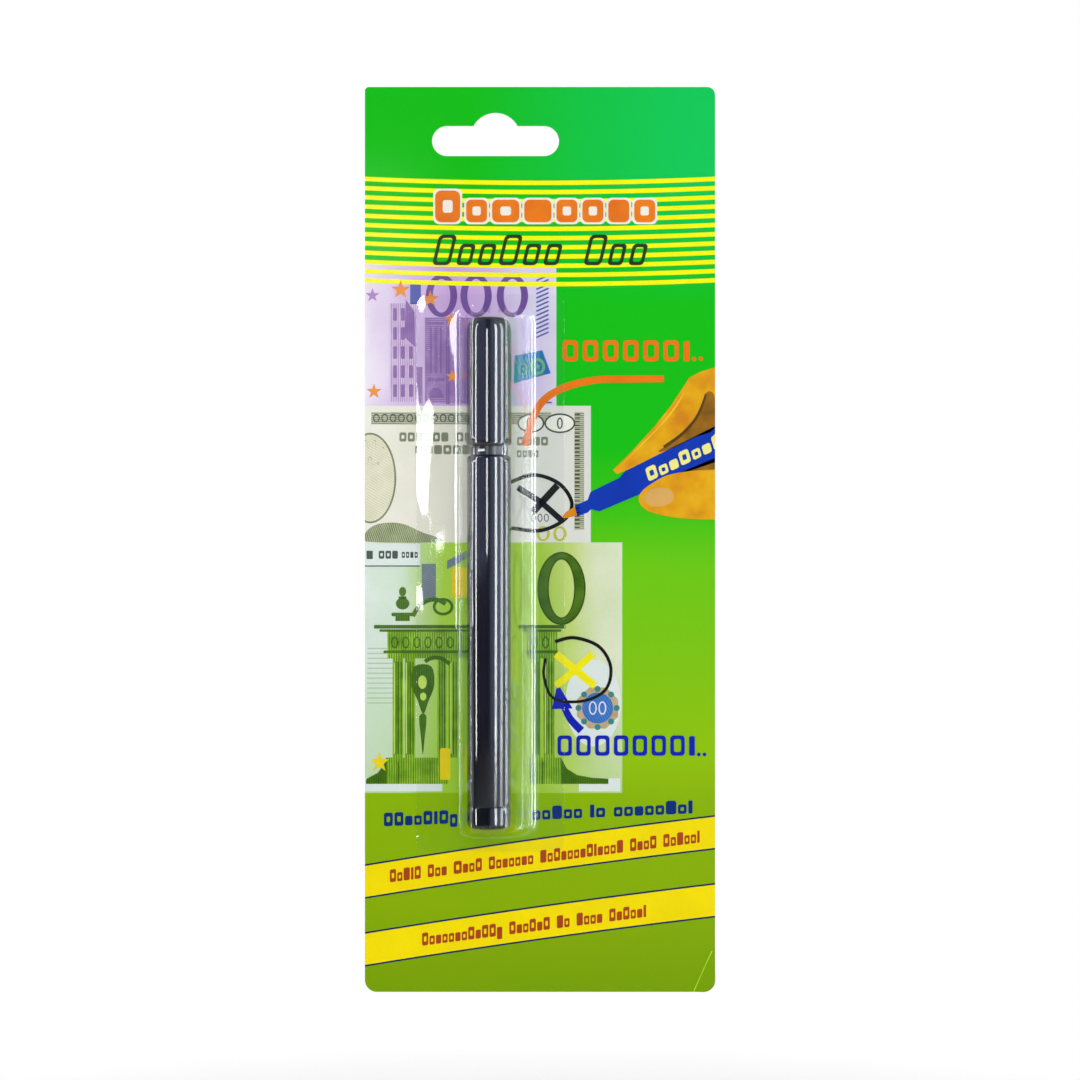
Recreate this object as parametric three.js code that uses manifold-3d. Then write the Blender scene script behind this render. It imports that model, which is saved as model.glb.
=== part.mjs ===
// Counterfeit detector pen, sealed under a clear blister on a printed hang card.
// Millimetres, +Z up. The card hangs in the XZ plane with its front towards -Y,
// and the origin is the top of its hang slot, where the display hook bears.
import * as THREE from 'three';
import { mergeVertices } from 'three/addons/utils/BufferGeometryUtils.js';
import Module from 'manifold-3d';

const wasm = await Module();
wasm.setup();

// Card
const CARD_THICKNESS = 0.5;
const CARD_LEFT = 32.9; // hang slot's middle to the left edge
const CARD_RIGHT = 55.3; // hang slot's middle to the right edge
const CARD_ABOVE_SLOT = 6.5;
const CARD_BELOW_SLOT = 221.4;
const CARD_TOP_CORNER = 1;
const CARD_FOOT_CORNER = 3;
const SLOT_WIDTH = 32;
const SLOT_HEIGHT = 7.6;
const SLOT_HUMP_RADIUS = 6.3;
const SLOT_HUMP_RISE = 3.3; // above the straight part of the slot

// Pen
const PEN_X = -1.5;
const PEN_FOOT_Z = -179.2;
const PEN_TO_CARD = 0.6; // clearance behind the widest part of the pen
const BARREL_RADIUS = 5.5;
const BARREL_WALL = 1.1;
const BARREL_LENGTH = 87.1;
const BARREL_SHOULDER = 0.95; // rounding at the neck end
const FOOT_HEIGHT = 5.4; // part of the end plug that shows
const FOOT_ROUND = 1.4;
const SEAM = 0.15; // groove between end plug and barrel
const NECK_INSET = 0.8; // neck ring below the barrel's surface
const NECK_HEIGHT = 2.2;
const CAP_RADIUS = 5.6;
const CAP_LENGTH = 31.9;
const CAP_WALL = 1.1;
const CAP_END_WALL = 1.3;
const CAP_MOUTH_ROUND = 0.95;
const CAP_TOP_INSET = 2.1; // width of the rounded shoulder round the closed end
const CAP_TOP_TAPER = 3.6; // height of that shoulder
const CAP_GAP = 0.1; // between the cap's mouth and the neck
const NOSE_SEAT_LENGTH = 8.5; // straight part that the cap grips
const NOSE_CONE_LENGTH = 6.5;
const NOSE_TIP_LENGTH = 4;
const NOSE_TIP_RADIUS = 2.4;
const NIB_RADIUS = 1.4;
const NIB_REACH = 3.6; // nib beyond the nose
const NIB_POINT = 2.5; // rounded part of that reach
const NIB_TAIL = 7; // nib inside the fibre reservoir
const FILM_WALL = 0.2;
const PLUG_SPIGOT_LENGTH = 9;
const PLUG_FLOOR = 1.2;
const NOSE_SKIRT_LENGTH = 9;
const NOSE_WEB = 1.6; // wall between the neck and the reservoir
const SKIRT_WALL = 0.7;
const LINER_GRIP = 3; // length of nose tube that the liner closes on
const LINER_WALL = 0.8;
const FIT = 0.1; // radial clearance of pressed and sliding fits

// Blister
const FILM = 0.4;
const FLANGE_WIDTH = 37.2;
const FLANGE_OFFSET = 0.2; // flange's middle to the right of the pen's axis
const FLANGE_HEAD_MARGIN = 3.4; // flange beyond the bubble above the cap
const FLANGE_FOOT_MARGIN = 4; // and below the pen's foot
const FLANGE_CORNER = 3;
const BUBBLE_LEFT_ROOM = 2.6; // pen's side to the outside of the bubble's left foot
const BUBBLE_RIGHT_ROOM = 5.7; // and to that of its right foot, beside which a clip would lie
const BUBBLE_LEFT_DRAFT = 0.6; // lean of the left wall from foot to shoulder
const BUBBLE_SHOULDER_ROOM = 1.9; // pen's right side to the bubble's shoulder
const BUBBLE_CREST = 3.5; // half width of the flat strip over the pen
const FILM_OVER_PEN = 0.6; // clearance between film and pen
const BUBBLE_END_GAP = 0.6; // clearance between film and the pen's two ends
const END_WALL_SLOPE = 0.17; // lean of the end walls, as run per rise
const BUBBLE_END_ROUND = 2.5;
const WAIST_DEPTH = 0.8;
const WAIST_OVERLAP = 0.6; // waist beyond the neck ring at each end
const SEAM_DIP_DEPTH = 0.3;
const SEAM_DIP_WIDTH = 2;
const SEAL_GAP = 0.02; // thickness of the heat-seal lacquer between film and card

const ROUND_STEPS = 5;
const LATHE_SEGMENTS = 36;

// Places along the pen, from its foot
const seamZ = PEN_FOOT_Z + FOOT_HEIGHT;
const barrelFootZ = seamZ + SEAM;
const barrelTopZ = barrelFootZ + BARREL_LENGTH;
const neckTopZ = barrelTopZ + NECK_HEIGHT;
const capMouthZ = neckTopZ + CAP_GAP;
const capTopZ = capMouthZ + CAP_LENGTH;
const noseTopZ = neckTopZ + NOSE_SEAT_LENGTH + NOSE_CONE_LENGTH + NOSE_TIP_LENGTH;
const widestRadius = Math.max(BARREL_RADIUS, CAP_RADIUS);
const penY = -(widestRadius + PEN_TO_CARD);
const barrelBore = BARREL_RADIUS - BARREL_WALL;
const spigotRadius = barrelBore - FIT; // of the end plug and of the nose section's skirt
const holderBore = spigotRadius - SKIRT_WALL; // inside both, where the reservoir sits
const reservoirRadius = holderBore - FIT - FILM_WALL - FIT / 2;
const capBore = CAP_RADIUS - CAP_WALL;
const capBoreTopZ = capTopZ - CAP_TOP_TAPER - CAP_END_WALL / 2;
const plugFloorZ = seamZ + PLUG_FLOOR;
const noseWebZ = barrelTopZ - NOSE_WEB;
const reservoirFootZ = plugFloorZ + FIT;
const reservoirTopZ = noseWebZ - FIT;

// Places on the blister
const bubbleHeight = 2 * widestRadius + PEN_TO_CARD + FILM_OVER_PEN + FILM;
const endWallRun = END_WALL_SLOPE * bubbleHeight;
const bubbleHeadZ = capTopZ + BUBBLE_END_GAP + FILM;
const bubbleFootZ = PEN_FOOT_Z - BUBBLE_END_GAP - FILM;
const flangeTopZ = bubbleHeadZ + endWallRun + FLANGE_HEAD_MARGIN;
const flangeFootZ = bubbleFootZ - endWallRun - FLANGE_FOOT_MARGIN;

const part = new THREE.Group();

function material(color, roughness, metalness = 0) {
  return new THREE.MeshStandardMaterial({ color, roughness, metalness });
}

const glossBlack = material(0x0d0d10, 0.15);
const clearFilm = material(0xdfe8ea, 0.08);

function add(parent, name, geometry, finish) {
  const mesh = new THREE.Mesh(geometry, finish);
  mesh.name = name;
  parent.add(mesh);
  return mesh;
}

// Points of a quarter round from one tangent point to the other, as [x, y] pairs.
function quarter(centreX, centreY, radiusX, radiusY, fromDeg, toDeg) {
  const points = [];
  for (let i = 0; i <= ROUND_STEPS; i += 1) {
    const angle = THREE.MathUtils.degToRad(fromDeg + ((toDeg - fromDeg) * i) / ROUND_STEPS);
    points.push([centreX + radiusX * Math.cos(angle), centreY + radiusY * Math.sin(angle)]);
  }
  return points;
}

// Turns a profile of [radius, z] pairs about +Z. Pairs run anticlockwise in (r, z).
function turned(profile) {
  const points = profile.map(([radius, z]) => new THREE.Vector2(radius, z));
  const onAxis = profile[0][0] === 0 && profile.at(-1)[0] === 0;
  if (!onAxis) {
    points.push(points[0].clone());
  }
  const geometry = new THREE.LatheGeometry(points, LATHE_SEGMENTS);
  geometry.rotateX(Math.PI / 2);
  return geometry;
}

// A flat outline drawn in (x, z), given a thickness that runs from y = 0 towards -Y.
function plate(shape, thickness) {
  const geometry = new THREE.ExtrudeGeometry(shape, {
    depth: thickness,
    bevelEnabled: false,
    curveSegments: ROUND_STEPS * 2,
  });
  geometry.rotateX(Math.PI / 2);
  return geometry;
}

function roundedRectangle(left, right, low, high, lowRadius, highRadius) {
  const shape = new THREE.Shape();
  shape.moveTo(left + lowRadius, low);
  shape.lineTo(right - lowRadius, low);
  shape.absarc(right - lowRadius, low + lowRadius, lowRadius, -Math.PI / 2, 0);
  shape.lineTo(right, high - highRadius);
  shape.absarc(right - highRadius, high - highRadius, highRadius, 0, Math.PI / 2);
  shape.lineTo(left + highRadius, high);
  shape.absarc(left + highRadius, high - highRadius, highRadius, Math.PI / 2, Math.PI);
  shape.lineTo(left, low + lowRadius);
  shape.absarc(left + lowRadius, low + lowRadius, lowRadius, Math.PI, 1.5 * Math.PI);
  return shape;
}

// Euro slot: a long round-ended slot with a round hump that rises to z = 0.
function hangSlot() {
  const endRadius = SLOT_HEIGHT / 2;
  const barTop = -SLOT_HUMP_RISE;
  const endX = SLOT_WIDTH / 2 - endRadius;
  const middleZ = barTop - endRadius;
  const humpCentreZ = -SLOT_HUMP_RADIUS;
  const humpStart = Math.asin((barTop - humpCentreZ) / SLOT_HUMP_RADIUS);
  const slot = new THREE.Path();
  slot.moveTo(-endX, middleZ - endRadius);
  slot.lineTo(endX, middleZ - endRadius);
  slot.absarc(endX, middleZ, endRadius, -Math.PI / 2, Math.PI / 2);
  slot.absarc(0, humpCentreZ, SLOT_HUMP_RADIUS, humpStart, Math.PI - humpStart);
  slot.absarc(-endX, middleZ, endRadius, Math.PI / 2, 1.5 * Math.PI);
  return slot;
}

function hangCard() {
  const outline = roundedRectangle(
    -CARD_LEFT,
    CARD_RIGHT,
    -CARD_BELOW_SLOT,
    CARD_ABOVE_SLOT,
    CARD_FOOT_CORNER,
    CARD_TOP_CORNER,
  );
  outline.holes.push(hangSlot());
  const geometry = plate(outline, CARD_THICKNESS);
  geometry.translate(0, CARD_THICKNESS, 0);
  return geometry;
}

// Barrel: a tube with a rounded shoulder at the neck end.
function barrel() {
  const round = Math.min(BARREL_SHOULDER, 0.9 * BARREL_WALL);
  return turned([
    [barrelBore, barrelFootZ],
    [BARREL_RADIUS, barrelFootZ],
    ...quarter(BARREL_RADIUS - round, barrelTopZ - round, round, round, 0, 90),
    [barrelBore, barrelTopZ],
  ]);
}

// End plug: a rounded foot with a hollow spigot pressed up into the barrel.
function endPlug() {
  const spigotTop = barrelFootZ + PLUG_SPIGOT_LENGTH;
  return turned([
    [0, PEN_FOOT_Z],
    ...quarter(BARREL_RADIUS - FOOT_ROUND, PEN_FOOT_Z + FOOT_ROUND, FOOT_ROUND, FOOT_ROUND, -90, 0),
    [BARREL_RADIUS, seamZ],
    [spigotRadius, seamZ],
    [spigotRadius, spigotTop],
    [holderBore, spigotTop],
    [holderBore, plugFloorZ],
    [0, plugFloorZ],
  ]);
}

// Nose section: skirt in the barrel, neck ring, seat for the cap, cone and nib tube.
function noseSection() {
  const skirtFoot = barrelTopZ - NOSE_SKIRT_LENGTH;
  const neckRadius = BARREL_RADIUS - NECK_INSET;
  const seatRadius = capBore - FIT;
  const seatTop = neckTopZ + NOSE_SEAT_LENGTH;
  const coneTop = seatTop + NOSE_CONE_LENGTH;
  const nibBore = NIB_RADIUS + FIT;
  return turned([
    [nibBore, noseWebZ],
    [holderBore, noseWebZ],
    [holderBore, skirtFoot],
    [spigotRadius, skirtFoot],
    [spigotRadius, barrelTopZ],
    [neckRadius, barrelTopZ],
    [neckRadius, neckTopZ],
    [seatRadius, neckTopZ],
    [seatRadius, seatTop],
    [NOSE_TIP_RADIUS, coneTop],
    [NOSE_TIP_RADIUS, noseTopZ],
    [nibBore, noseTopZ],
  ]);
}

// Nib: a porous rod with a bullet tip, pushed into the end of the fibre reservoir.
function nib() {
  const tailZ = noseWebZ - NIB_TAIL;
  const tipZ = noseTopZ + NIB_REACH;
  return turned([
    [0, tailZ],
    [NIB_RADIUS, tailZ],
    ...quarter(0, tipZ - NIB_POINT, NIB_RADIUS, NIB_POINT, 0, 90).slice(0, -1),
    [0, tipZ],
  ]);
}

// Fibre rod with a socket at its top for the nib's tail.
function inkReservoir() {
  const socket = NIB_RADIUS + FIT;
  const socketFloor = noseWebZ - NIB_TAIL - FIT;
  return turned([
    [0, reservoirFootZ],
    [reservoirRadius, reservoirFootZ],
    [reservoirRadius, reservoirTopZ],
    [socket, reservoirTopZ],
    [socket, socketFloor],
    [0, socketFloor],
  ]);
}

// Film wound round the fibre rod, open at both ends.
function reservoirFilm() {
  const inner = reservoirRadius + FIT / 2;
  return turned([
    [inner, reservoirFootZ],
    [inner + FILM_WALL, reservoirFootZ],
    [inner + FILM_WALL, reservoirTopZ],
    [inner, reservoirTopZ],
  ]);
}

// Cap: closed end with a rounded shoulder, rounded mouth.
function penCap() {
  const topRadius = CAP_RADIUS - CAP_TOP_INSET;
  const mouthRound = Math.min(CAP_MOUTH_ROUND, 0.9 * CAP_WALL);
  return turned([
    [0, capTopZ - CAP_END_WALL],
    [Math.min(topRadius, capBore), capTopZ - CAP_END_WALL],
    [capBore, capBoreTopZ],
    [capBore, capMouthZ],
    ...quarter(CAP_RADIUS - mouthRound, capMouthZ + mouthRound, mouthRound, mouthRound, -90, 0),
    ...quarter(topRadius, capTopZ - CAP_TOP_TAPER, CAP_TOP_INSET, CAP_TOP_TAPER, 0, 90),
    [0, capTopZ],
  ]);
}

// Seal liner: a soft thimble that closes on the nose tube, with a rim held by the cap's bore.
function capSealLiner() {
  const inner = NOSE_TIP_RADIUS + FIT;
  const outer = inner + LINER_WALL;
  const rimRadius = capBore - FIT;
  const topZ = capBoreTopZ - FIT;
  const mouthZ = noseTopZ - LINER_GRIP;
  return turned([
    [0, topZ - LINER_WALL],
    [inner, topZ - LINER_WALL],
    [inner, mouthZ],
    [outer, mouthZ],
    [outer, topZ - LINER_WALL],
    [rimRadius, topZ - LINER_WALL],
    [rimRadius, topZ],
    [0, topZ],
  ]);
}

// Section across the bubble, drawn in (x, height), `inset` inside its outer face.
// The right wall leans further than the left one, which leaves room for a pocket clip.
function bubbleSection(inset) {
  const left = PEN_X - widestRadius - BUBBLE_LEFT_ROOM + inset;
  const right = PEN_X + widestRadius + BUBBLE_RIGHT_ROOM - inset;
  const top = bubbleHeight - inset;
  const crestLeft = PEN_X - BUBBLE_CREST;
  const crestRight = PEN_X + BUBBLE_CREST;
  const shoulder = widestRadius + PEN_TO_CARD;
  const leftShoulder = left + BUBBLE_LEFT_DRAFT;
  const rightShoulder = PEN_X + widestRadius + BUBBLE_SHOULDER_ROOM - inset;
  const shape = new THREE.Shape();
  shape.moveTo(left, -inset);
  shape.lineTo(right, -inset);
  shape.lineTo(rightShoulder, shoulder);
  shape.quadraticCurveTo(rightShoulder - BUBBLE_LEFT_DRAFT, top, crestRight, top);
  shape.lineTo(crestLeft, top);
  shape.quadraticCurveTo(leftShoulder, top, leftShoulder, shoulder);
  shape.lineTo(left, -inset);
  return shape;
}

// Section along the bubble, drawn in (height, z): leaning end walls with round corners,
// a waist over the neck ring and a small dip over the end plug's seam.
function bubbleProfile(inset) {
  const top = bubbleHeight - inset;
  const footFront = bubbleFootZ + inset;
  const headFront = bubbleHeadZ - inset;
  const round = BUBBLE_END_ROUND;
  const waistMiddle = (barrelTopZ + capMouthZ) / 2;
  const waistHalf = (capMouthZ - barrelTopZ) / 2 + WAIST_OVERLAP;
  const seamHalf = SEAM_DIP_WIDTH / 2;
  const shape = new THREE.Shape();
  shape.moveTo(-inset, footFront - endWallRun);
  shape.lineTo(top - round, footFront);
  shape.quadraticCurveTo(top, footFront, top, footFront + round);
  shape.lineTo(top, seamZ - seamHalf);
  shape.lineTo(top - SEAM_DIP_DEPTH, seamZ);
  shape.lineTo(top, seamZ + seamHalf);
  shape.lineTo(top, waistMiddle - waistHalf);
  shape.quadraticCurveTo(top - WAIST_DEPTH * 2, waistMiddle, top, waistMiddle + waistHalf);
  shape.lineTo(top, headFront - round);
  shape.quadraticCurveTo(top, headFront, top - round, headFront);
  shape.lineTo(-inset, headFront + endWallRun);
  shape.lineTo(-inset, footFront - endWallRun);
  return shape;
}

function extruded(shape, depth) {
  return new THREE.ExtrudeGeometry(shape, {
    depth,
    bevelEnabled: false,
    curveSegments: ROUND_STEPS * 2,
  });
}

function solid(geometry) {
  const bare = geometry.index ? geometry.toNonIndexed() : geometry.clone();
  bare.deleteAttribute('normal');
  bare.deleteAttribute('uv');
  const merged = mergeVertices(bare, 1e-4);
  return new wasm.Manifold(
    new wasm.Mesh({
      numProp: 3,
      vertProperties: new Float32Array(merged.attributes.position.array),
      triVerts: new Uint32Array(merged.index.array),
    }),
  );
}

function geometryOf(manifold) {
  const mesh = manifold.getMesh();
  const geometry = new THREE.BufferGeometry();
  geometry.setAttribute('position', new THREE.BufferAttribute(mesh.vertProperties, 3));
  geometry.setIndex(new THREE.BufferAttribute(mesh.triVerts, 1));
  geometry.computeVertexNormals();
  return geometry;
}

// The bubble's form as a block: what its cross section and its long section share.
function bubbleForm(inset) {
  const sectionLength = flangeTopZ - flangeFootZ;
  const across = extruded(bubbleSection(inset), sectionLength);
  // (x, height, along) to (x, -Y, +Z)
  across.applyMatrix4(
    new THREE.Matrix4().set(1, 0, 0, 0, 0, -1, 0, 0, 0, 0, -1, flangeTopZ, 0, 0, 0, 1),
  );
  const profileLength = 2 * FLANGE_WIDTH;
  const along = extruded(bubbleProfile(inset), profileLength);
  // (height, z, along) to (-Y, +Z, -X)
  along.applyMatrix4(
    new THREE.Matrix4().set(0, 0, -1, PEN_X + FLANGE_WIDTH, -1, 0, 0, 0, 0, 1, 0, 0, 0, 0, 0, 1),
  );
  return solid(across).intersect(solid(along));
}

function blisterShell() {
  const middle = PEN_X + FLANGE_OFFSET;
  const half = FLANGE_WIDTH / 2;
  const flange = plate(
    roundedRectangle(
      middle - half,
      middle + half,
      flangeFootZ,
      flangeTopZ,
      FLANGE_CORNER,
      FLANGE_CORNER,
    ),
    FILM,
  );
  const shell = solid(flange).add(bubbleForm(0)).subtract(bubbleForm(FILM));
  const geometry = geometryOf(shell);
  geometry.translate(0, -SEAL_GAP, 0);
  return geometry;
}

add(part, 'hang_card', hangCard(), material(0x3fb52a, 0.35));
add(part, 'blister_shell', blisterShell(), clearFilm);

const pen = new THREE.Group();
pen.position.set(PEN_X, penY, 0);
part.add(pen);
add(pen, 'pen_barrel', barrel(), glossBlack);
add(pen, 'barrel_end_plug', endPlug(), glossBlack);
add(pen, 'nose_section', noseSection(), glossBlack);
add(pen, 'nib', nib(), material(0xc98a3c, 0.9));
add(pen, 'ink_reservoir', inkReservoir(), material(0xe6dcc0, 0.95));
add(pen, 'reservoir_film', reservoirFilm(), clearFilm);

const cap = new THREE.Group();
pen.add(cap);
add(cap, 'pen_cap', penCap(), glossBlack);
add(cap, 'cap_seal_liner', capSealLiner(), material(0xe8e8e4, 0.5));

export default part;
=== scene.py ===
"""Looks for a counterfeit detector pen sealed under a clear blister on a printed hang card.

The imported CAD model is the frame. Its card, film and pen shells are replaced by finer pieces of the
same size, the print is laid on the card as thin ink islands, and every finish is procedural.
Lengths in the shape code are millimetres in the row frame; MM turns them into metres.
"""

import math

import bmesh
import bpy
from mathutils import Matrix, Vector, noise
from mathutils.geometry import tessellate_polygon


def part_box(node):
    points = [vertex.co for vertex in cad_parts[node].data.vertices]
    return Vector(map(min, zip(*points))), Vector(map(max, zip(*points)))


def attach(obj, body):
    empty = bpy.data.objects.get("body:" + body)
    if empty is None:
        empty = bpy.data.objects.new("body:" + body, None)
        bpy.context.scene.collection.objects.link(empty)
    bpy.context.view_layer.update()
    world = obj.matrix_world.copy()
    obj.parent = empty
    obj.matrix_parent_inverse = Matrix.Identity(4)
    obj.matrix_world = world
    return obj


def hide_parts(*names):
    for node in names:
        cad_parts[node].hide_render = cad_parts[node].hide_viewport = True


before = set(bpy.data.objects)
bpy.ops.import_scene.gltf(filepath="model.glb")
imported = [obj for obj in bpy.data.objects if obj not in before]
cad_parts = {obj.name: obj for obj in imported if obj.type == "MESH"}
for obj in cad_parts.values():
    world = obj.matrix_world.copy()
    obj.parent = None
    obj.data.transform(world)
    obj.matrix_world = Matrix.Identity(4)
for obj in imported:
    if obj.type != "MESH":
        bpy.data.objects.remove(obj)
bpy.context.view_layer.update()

MM = 0.001


def box_mm(node):
    """Lowest and highest corner of a CAD node, in millimetres."""
    low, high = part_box(node)
    return Vector(low) / MM, Vector(high) / MM


card_low, card_high = box_mm("hang_card")
film_low, film_high = box_mm("blister_shell")
barrel_low, barrel_high = box_mm("pen_barrel")
plug_low, plug_high = box_mm("barrel_end_plug")
nose_low, nose_high = box_mm("nose_section")
cap_low, cap_high = box_mm("pen_cap")
liner_low, liner_high = box_mm("cap_seal_liner")
nib_low, nib_high = box_mm("nib")

LEFT, RIGHT = card_low.x, card_high.x
FOOT, HEAD = card_low.z, card_high.z
FACE, BACK = card_low.y, card_high.y
PEN_X = (barrel_low.x + barrel_high.x) / 2
PEN_Y = (barrel_low.y + barrel_high.y) / 2
SEAM_Z = barrel_low.z
NECK_LOW, NECK_HIGH = barrel_high.z, cap_low.z

INK = 0.018  # thickness of an ink island
INK_STEP = 0.024  # rise from one print layer to the next
FILM = 0.26  # thickness of the clear film
FILM_LIFT = 0.3  # film's underside over the bare board, above every print layer
TURN_STEPS = 112  # segments of a turned piece


# ---------------------------------------------------------------- node helpers


def tint(code):
    """Linear RGBA of a hex colour."""
    parts = [int(code[i : i + 2], 16) / 255 for i in (0, 2, 4)]
    linear = [p / 12.92 if p <= 0.04045 else ((p + 0.055) / 1.055) ** 2.4 for p in parts]
    return (*linear, 1.0)


def put(tree, kind, sockets=None, **settings):
    """Adds a node, sets its properties, and fills inputs with values or links."""
    made = tree.nodes.new("ShaderNode" + kind)
    for key, value in settings.items():
        setattr(made, key, value)
    for key, value in (sockets or {}).items():
        socket = made.inputs[key]
        if isinstance(value, bpy.types.NodeSocket):
            tree.links.new(value, socket)
        else:
            socket.default_value = value
    return made


def sums(tree, operation, a, b=0.0, c=0.0, clamp=False):
    return put(tree, "Math", {0: a, 1: b, 2: c}, operation=operation, use_clamp=clamp).outputs[0]


def blend(tree, factor, a, b, mode="MIX"):
    made = put(tree, "Mix", data_type="RGBA", blend_type=mode)
    for name, value in (("Factor", factor), ("A", a), ("B", b)):
        kind = "VALUE" if name == "Factor" else "RGBA"
        socket = next(s for s in made.inputs if s.name == name and s.type == kind)
        if isinstance(value, bpy.types.NodeSocket):
            tree.links.new(value, socket)
        else:
            socket.default_value = value
    return next(s for s in made.outputs if s.type == "RGBA")


def ramp(tree, value, stops, mode="LINEAR"):
    """Colour ramp from (position, colour) pairs."""
    made = put(tree, "ValToRGB", {"Fac": value})
    made.color_ramp.interpolation = mode
    elements = made.color_ramp.elements
    while len(elements) < len(stops):
        elements.new(0.5)
    for element, (position, colour) in zip(elements, stops):
        element.position = position
        element.color = colour
    return made.outputs["Color"]


def between(tree, value, low, high, to_low=0.0, to_high=1.0):
    sockets = {"Value": value, "From Min": low, "From Max": high, "To Min": to_low, "To Max": to_high}
    return put(tree, "MapRange", sockets).outputs["Result"]


def start_group(name, inputs, outputs):
    """An empty shader group with named sockets, and the tree's input and output nodes."""
    group = bpy.data.node_groups.new(name, "ShaderNodeTree")
    kinds = {"float": "NodeSocketFloat", "colour": "NodeSocketColor"}
    for label, kind, value in inputs:
        socket = group.interface.new_socket(name=label, in_out="INPUT", socket_type=kinds[kind])
        socket.default_value = value
    for label, kind in outputs:
        group.interface.new_socket(name=label, in_out="OUTPUT", socket_type=kinds[kind])
    return group, group.nodes.new("NodeGroupInput").outputs, group.nodes.new("NodeGroupOutput").inputs


def use(tree, group, **values):
    """Places a group; an underscore in a keyword stands for a space in the socket's name."""
    made = tree.nodes.new("ShaderNodeGroup")
    made.node_tree = group
    for key, value in values.items():
        socket = made.inputs[key.replace("_", " ")]
        if isinstance(value, bpy.types.NodeSocket):
            tree.links.new(value, socket)
        else:
            socket.default_value = value
    return made.outputs


def place(tree):
    return put(tree, "TexCoord").outputs["Object"]


def axis_values(tree):
    split = put(tree, "SeparateXYZ", {0: place(tree)})
    return split.outputs["X"], split.outputs["Y"], split.outputs["Z"]


# ---------------------------------------------------------------- shared effects


def make_press_ink():
    """Offset ink: the tint drifts towards a deeper one in soft clouds, under a fine screen grain."""
    group, given, out = start_group(
        "press_ink",
        [
            ("Ink", "colour", (1, 1, 1, 1)),
            ("Deep ink", "colour", (0, 0, 0, 1)),
            ("Cloud size", "float", 120.0),
            ("Cloud amount", "float", 0.3),
            ("Grain", "float", 0.06),
        ],
        [("Color", "colour"), ("Roughness", "float"), ("Height", "float")],
    )
    spot = place(group)
    cloud = put(group, "TexNoise", {"Vector": spot, "Scale": given["Cloud size"], "Detail": 3.0})
    share = between(group, cloud.outputs["Fac"], 0.35, 0.7)
    share = sums(group, "MULTIPLY", share, given["Cloud amount"])
    drifted = blend(group, share, given["Ink"], given["Deep ink"])
    screen = put(group, "TexNoise", {"Vector": spot, "Scale": 5200.0, "Detail": 1.0})
    speck = between(group, screen.outputs["Fac"], 0.3, 0.7)
    lift = sums(group, "MULTIPLY", sums(group, "SUBTRACT", speck, 0.5), given["Grain"])
    gain = sums(group, "ADD", 1.0, lift)
    grey = put(group, "CombineColor", {0: gain, 1: gain, 2: gain}).outputs["Color"]
    group.links.new(blend(group, 1.0, drifted, grey, "MULTIPLY"), out["Color"])
    group.links.new(between(group, cloud.outputs["Fac"], 0.2, 0.8, 0.5, 0.62), out["Roughness"])
    group.links.new(speck, out["Height"])
    return group


def make_engraving():
    """Fine engraved lines: wavy bands of line ink on paper, thicker where the plate is cut deeper."""
    group, given, out = start_group(
        "engraving",
        [
            ("Paper", "colour", (1, 1, 1, 1)),
            ("Line", "colour", (0, 0, 0, 1)),
            ("Pitch scale", "float", 450.0),
            ("Turn", "float", 0.0),
            ("Sway", "float", 2.0),
            ("Weight", "float", 0.5),
        ],
        [("Color", "colour"), ("Mask", "float")],
    )
    turn = put(group, "CombineXYZ", {"Y": given["Turn"]}).outputs[0]
    spot = put(group, "Mapping", {"Vector": place(group), "Rotation": turn}).outputs[0]
    wave = put(
        group,
        "TexWave",
        {
            "Vector": spot,
            "Scale": given["Pitch scale"],
            "Distortion": given["Sway"],
            "Detail": 2.0,
            "Detail Scale": 0.4,
        },
        wave_type="BANDS",
        bands_direction="X",
    )
    depth = put(group, "TexNoise", {"Vector": place(group), "Scale": 260.0, "Detail": 2.0})
    bar = between(group, depth.outputs["Fac"], 0.3, 0.75, 0.75, 0.15)
    mask = between(group, wave.outputs["Fac"], bar, sums(group, "ADD", bar, 0.25))
    mask = sums(group, "MULTIPLY", mask, given["Weight"], clamp=True)
    group.links.new(blend(group, mask, given["Paper"], given["Line"]), out["Color"])
    group.links.new(mask, out["Mask"])
    return group


def make_handling():
    """Traces of handling: hair scratches and dust that dull a polished surface."""
    group, given, out = start_group(
        "handling",
        [
            ("Base roughness", "float", 0.1),
            ("Scratches", "float", 0.08),
            ("Dust", "float", 0.06),
            ("Ripple size", "float", 60.0),
        ],
        [("Roughness", "float"), ("Height", "float"), ("Dust mask", "float")],
    )
    spot = place(group)
    along = put(group, "Mapping", {"Vector": spot, "Scale": (1.0, 1.0, 0.06)}).outputs[0]
    hair = put(group, "TexNoise", {"Vector": along, "Scale": 2600.0, "Detail": 2.0})
    line = between(group, hair.outputs["Fac"], 0.62, 0.72)
    cloud = put(group, "TexNoise", {"Vector": spot, "Scale": 180.0, "Detail": 4.0})
    grime = between(group, cloud.outputs["Fac"], 0.5, 0.75)
    rough = sums(group, "MULTIPLY_ADD", line, given["Scratches"], given["Base roughness"])
    rough = sums(group, "MULTIPLY_ADD", grime, given["Dust"], rough)
    fleck = put(group, "TexVoronoi", {"Vector": spot, "Scale": 900.0})
    dust = between(group, fleck.outputs["Distance"], 0.07, 0.03)
    ripple = put(group, "TexNoise", {"Vector": along, "Scale": given["Ripple size"], "Detail": 2.0})
    group.links.new(rough, out["Roughness"])
    group.links.new(ripple.outputs["Fac"], out["Height"])
    group.links.new(sums(group, "MULTIPLY", dust, grime), out["Dust mask"])
    return group


press_ink = make_press_ink()
engraving = make_engraving()
handling = make_handling()


# ---------------------------------------------------------------- materials


def new_material(name):
    made = bpy.data.materials.new(name)
    made.use_nodes = True
    return made, made.node_tree, made.node_tree.nodes["Principled BSDF"]


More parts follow.
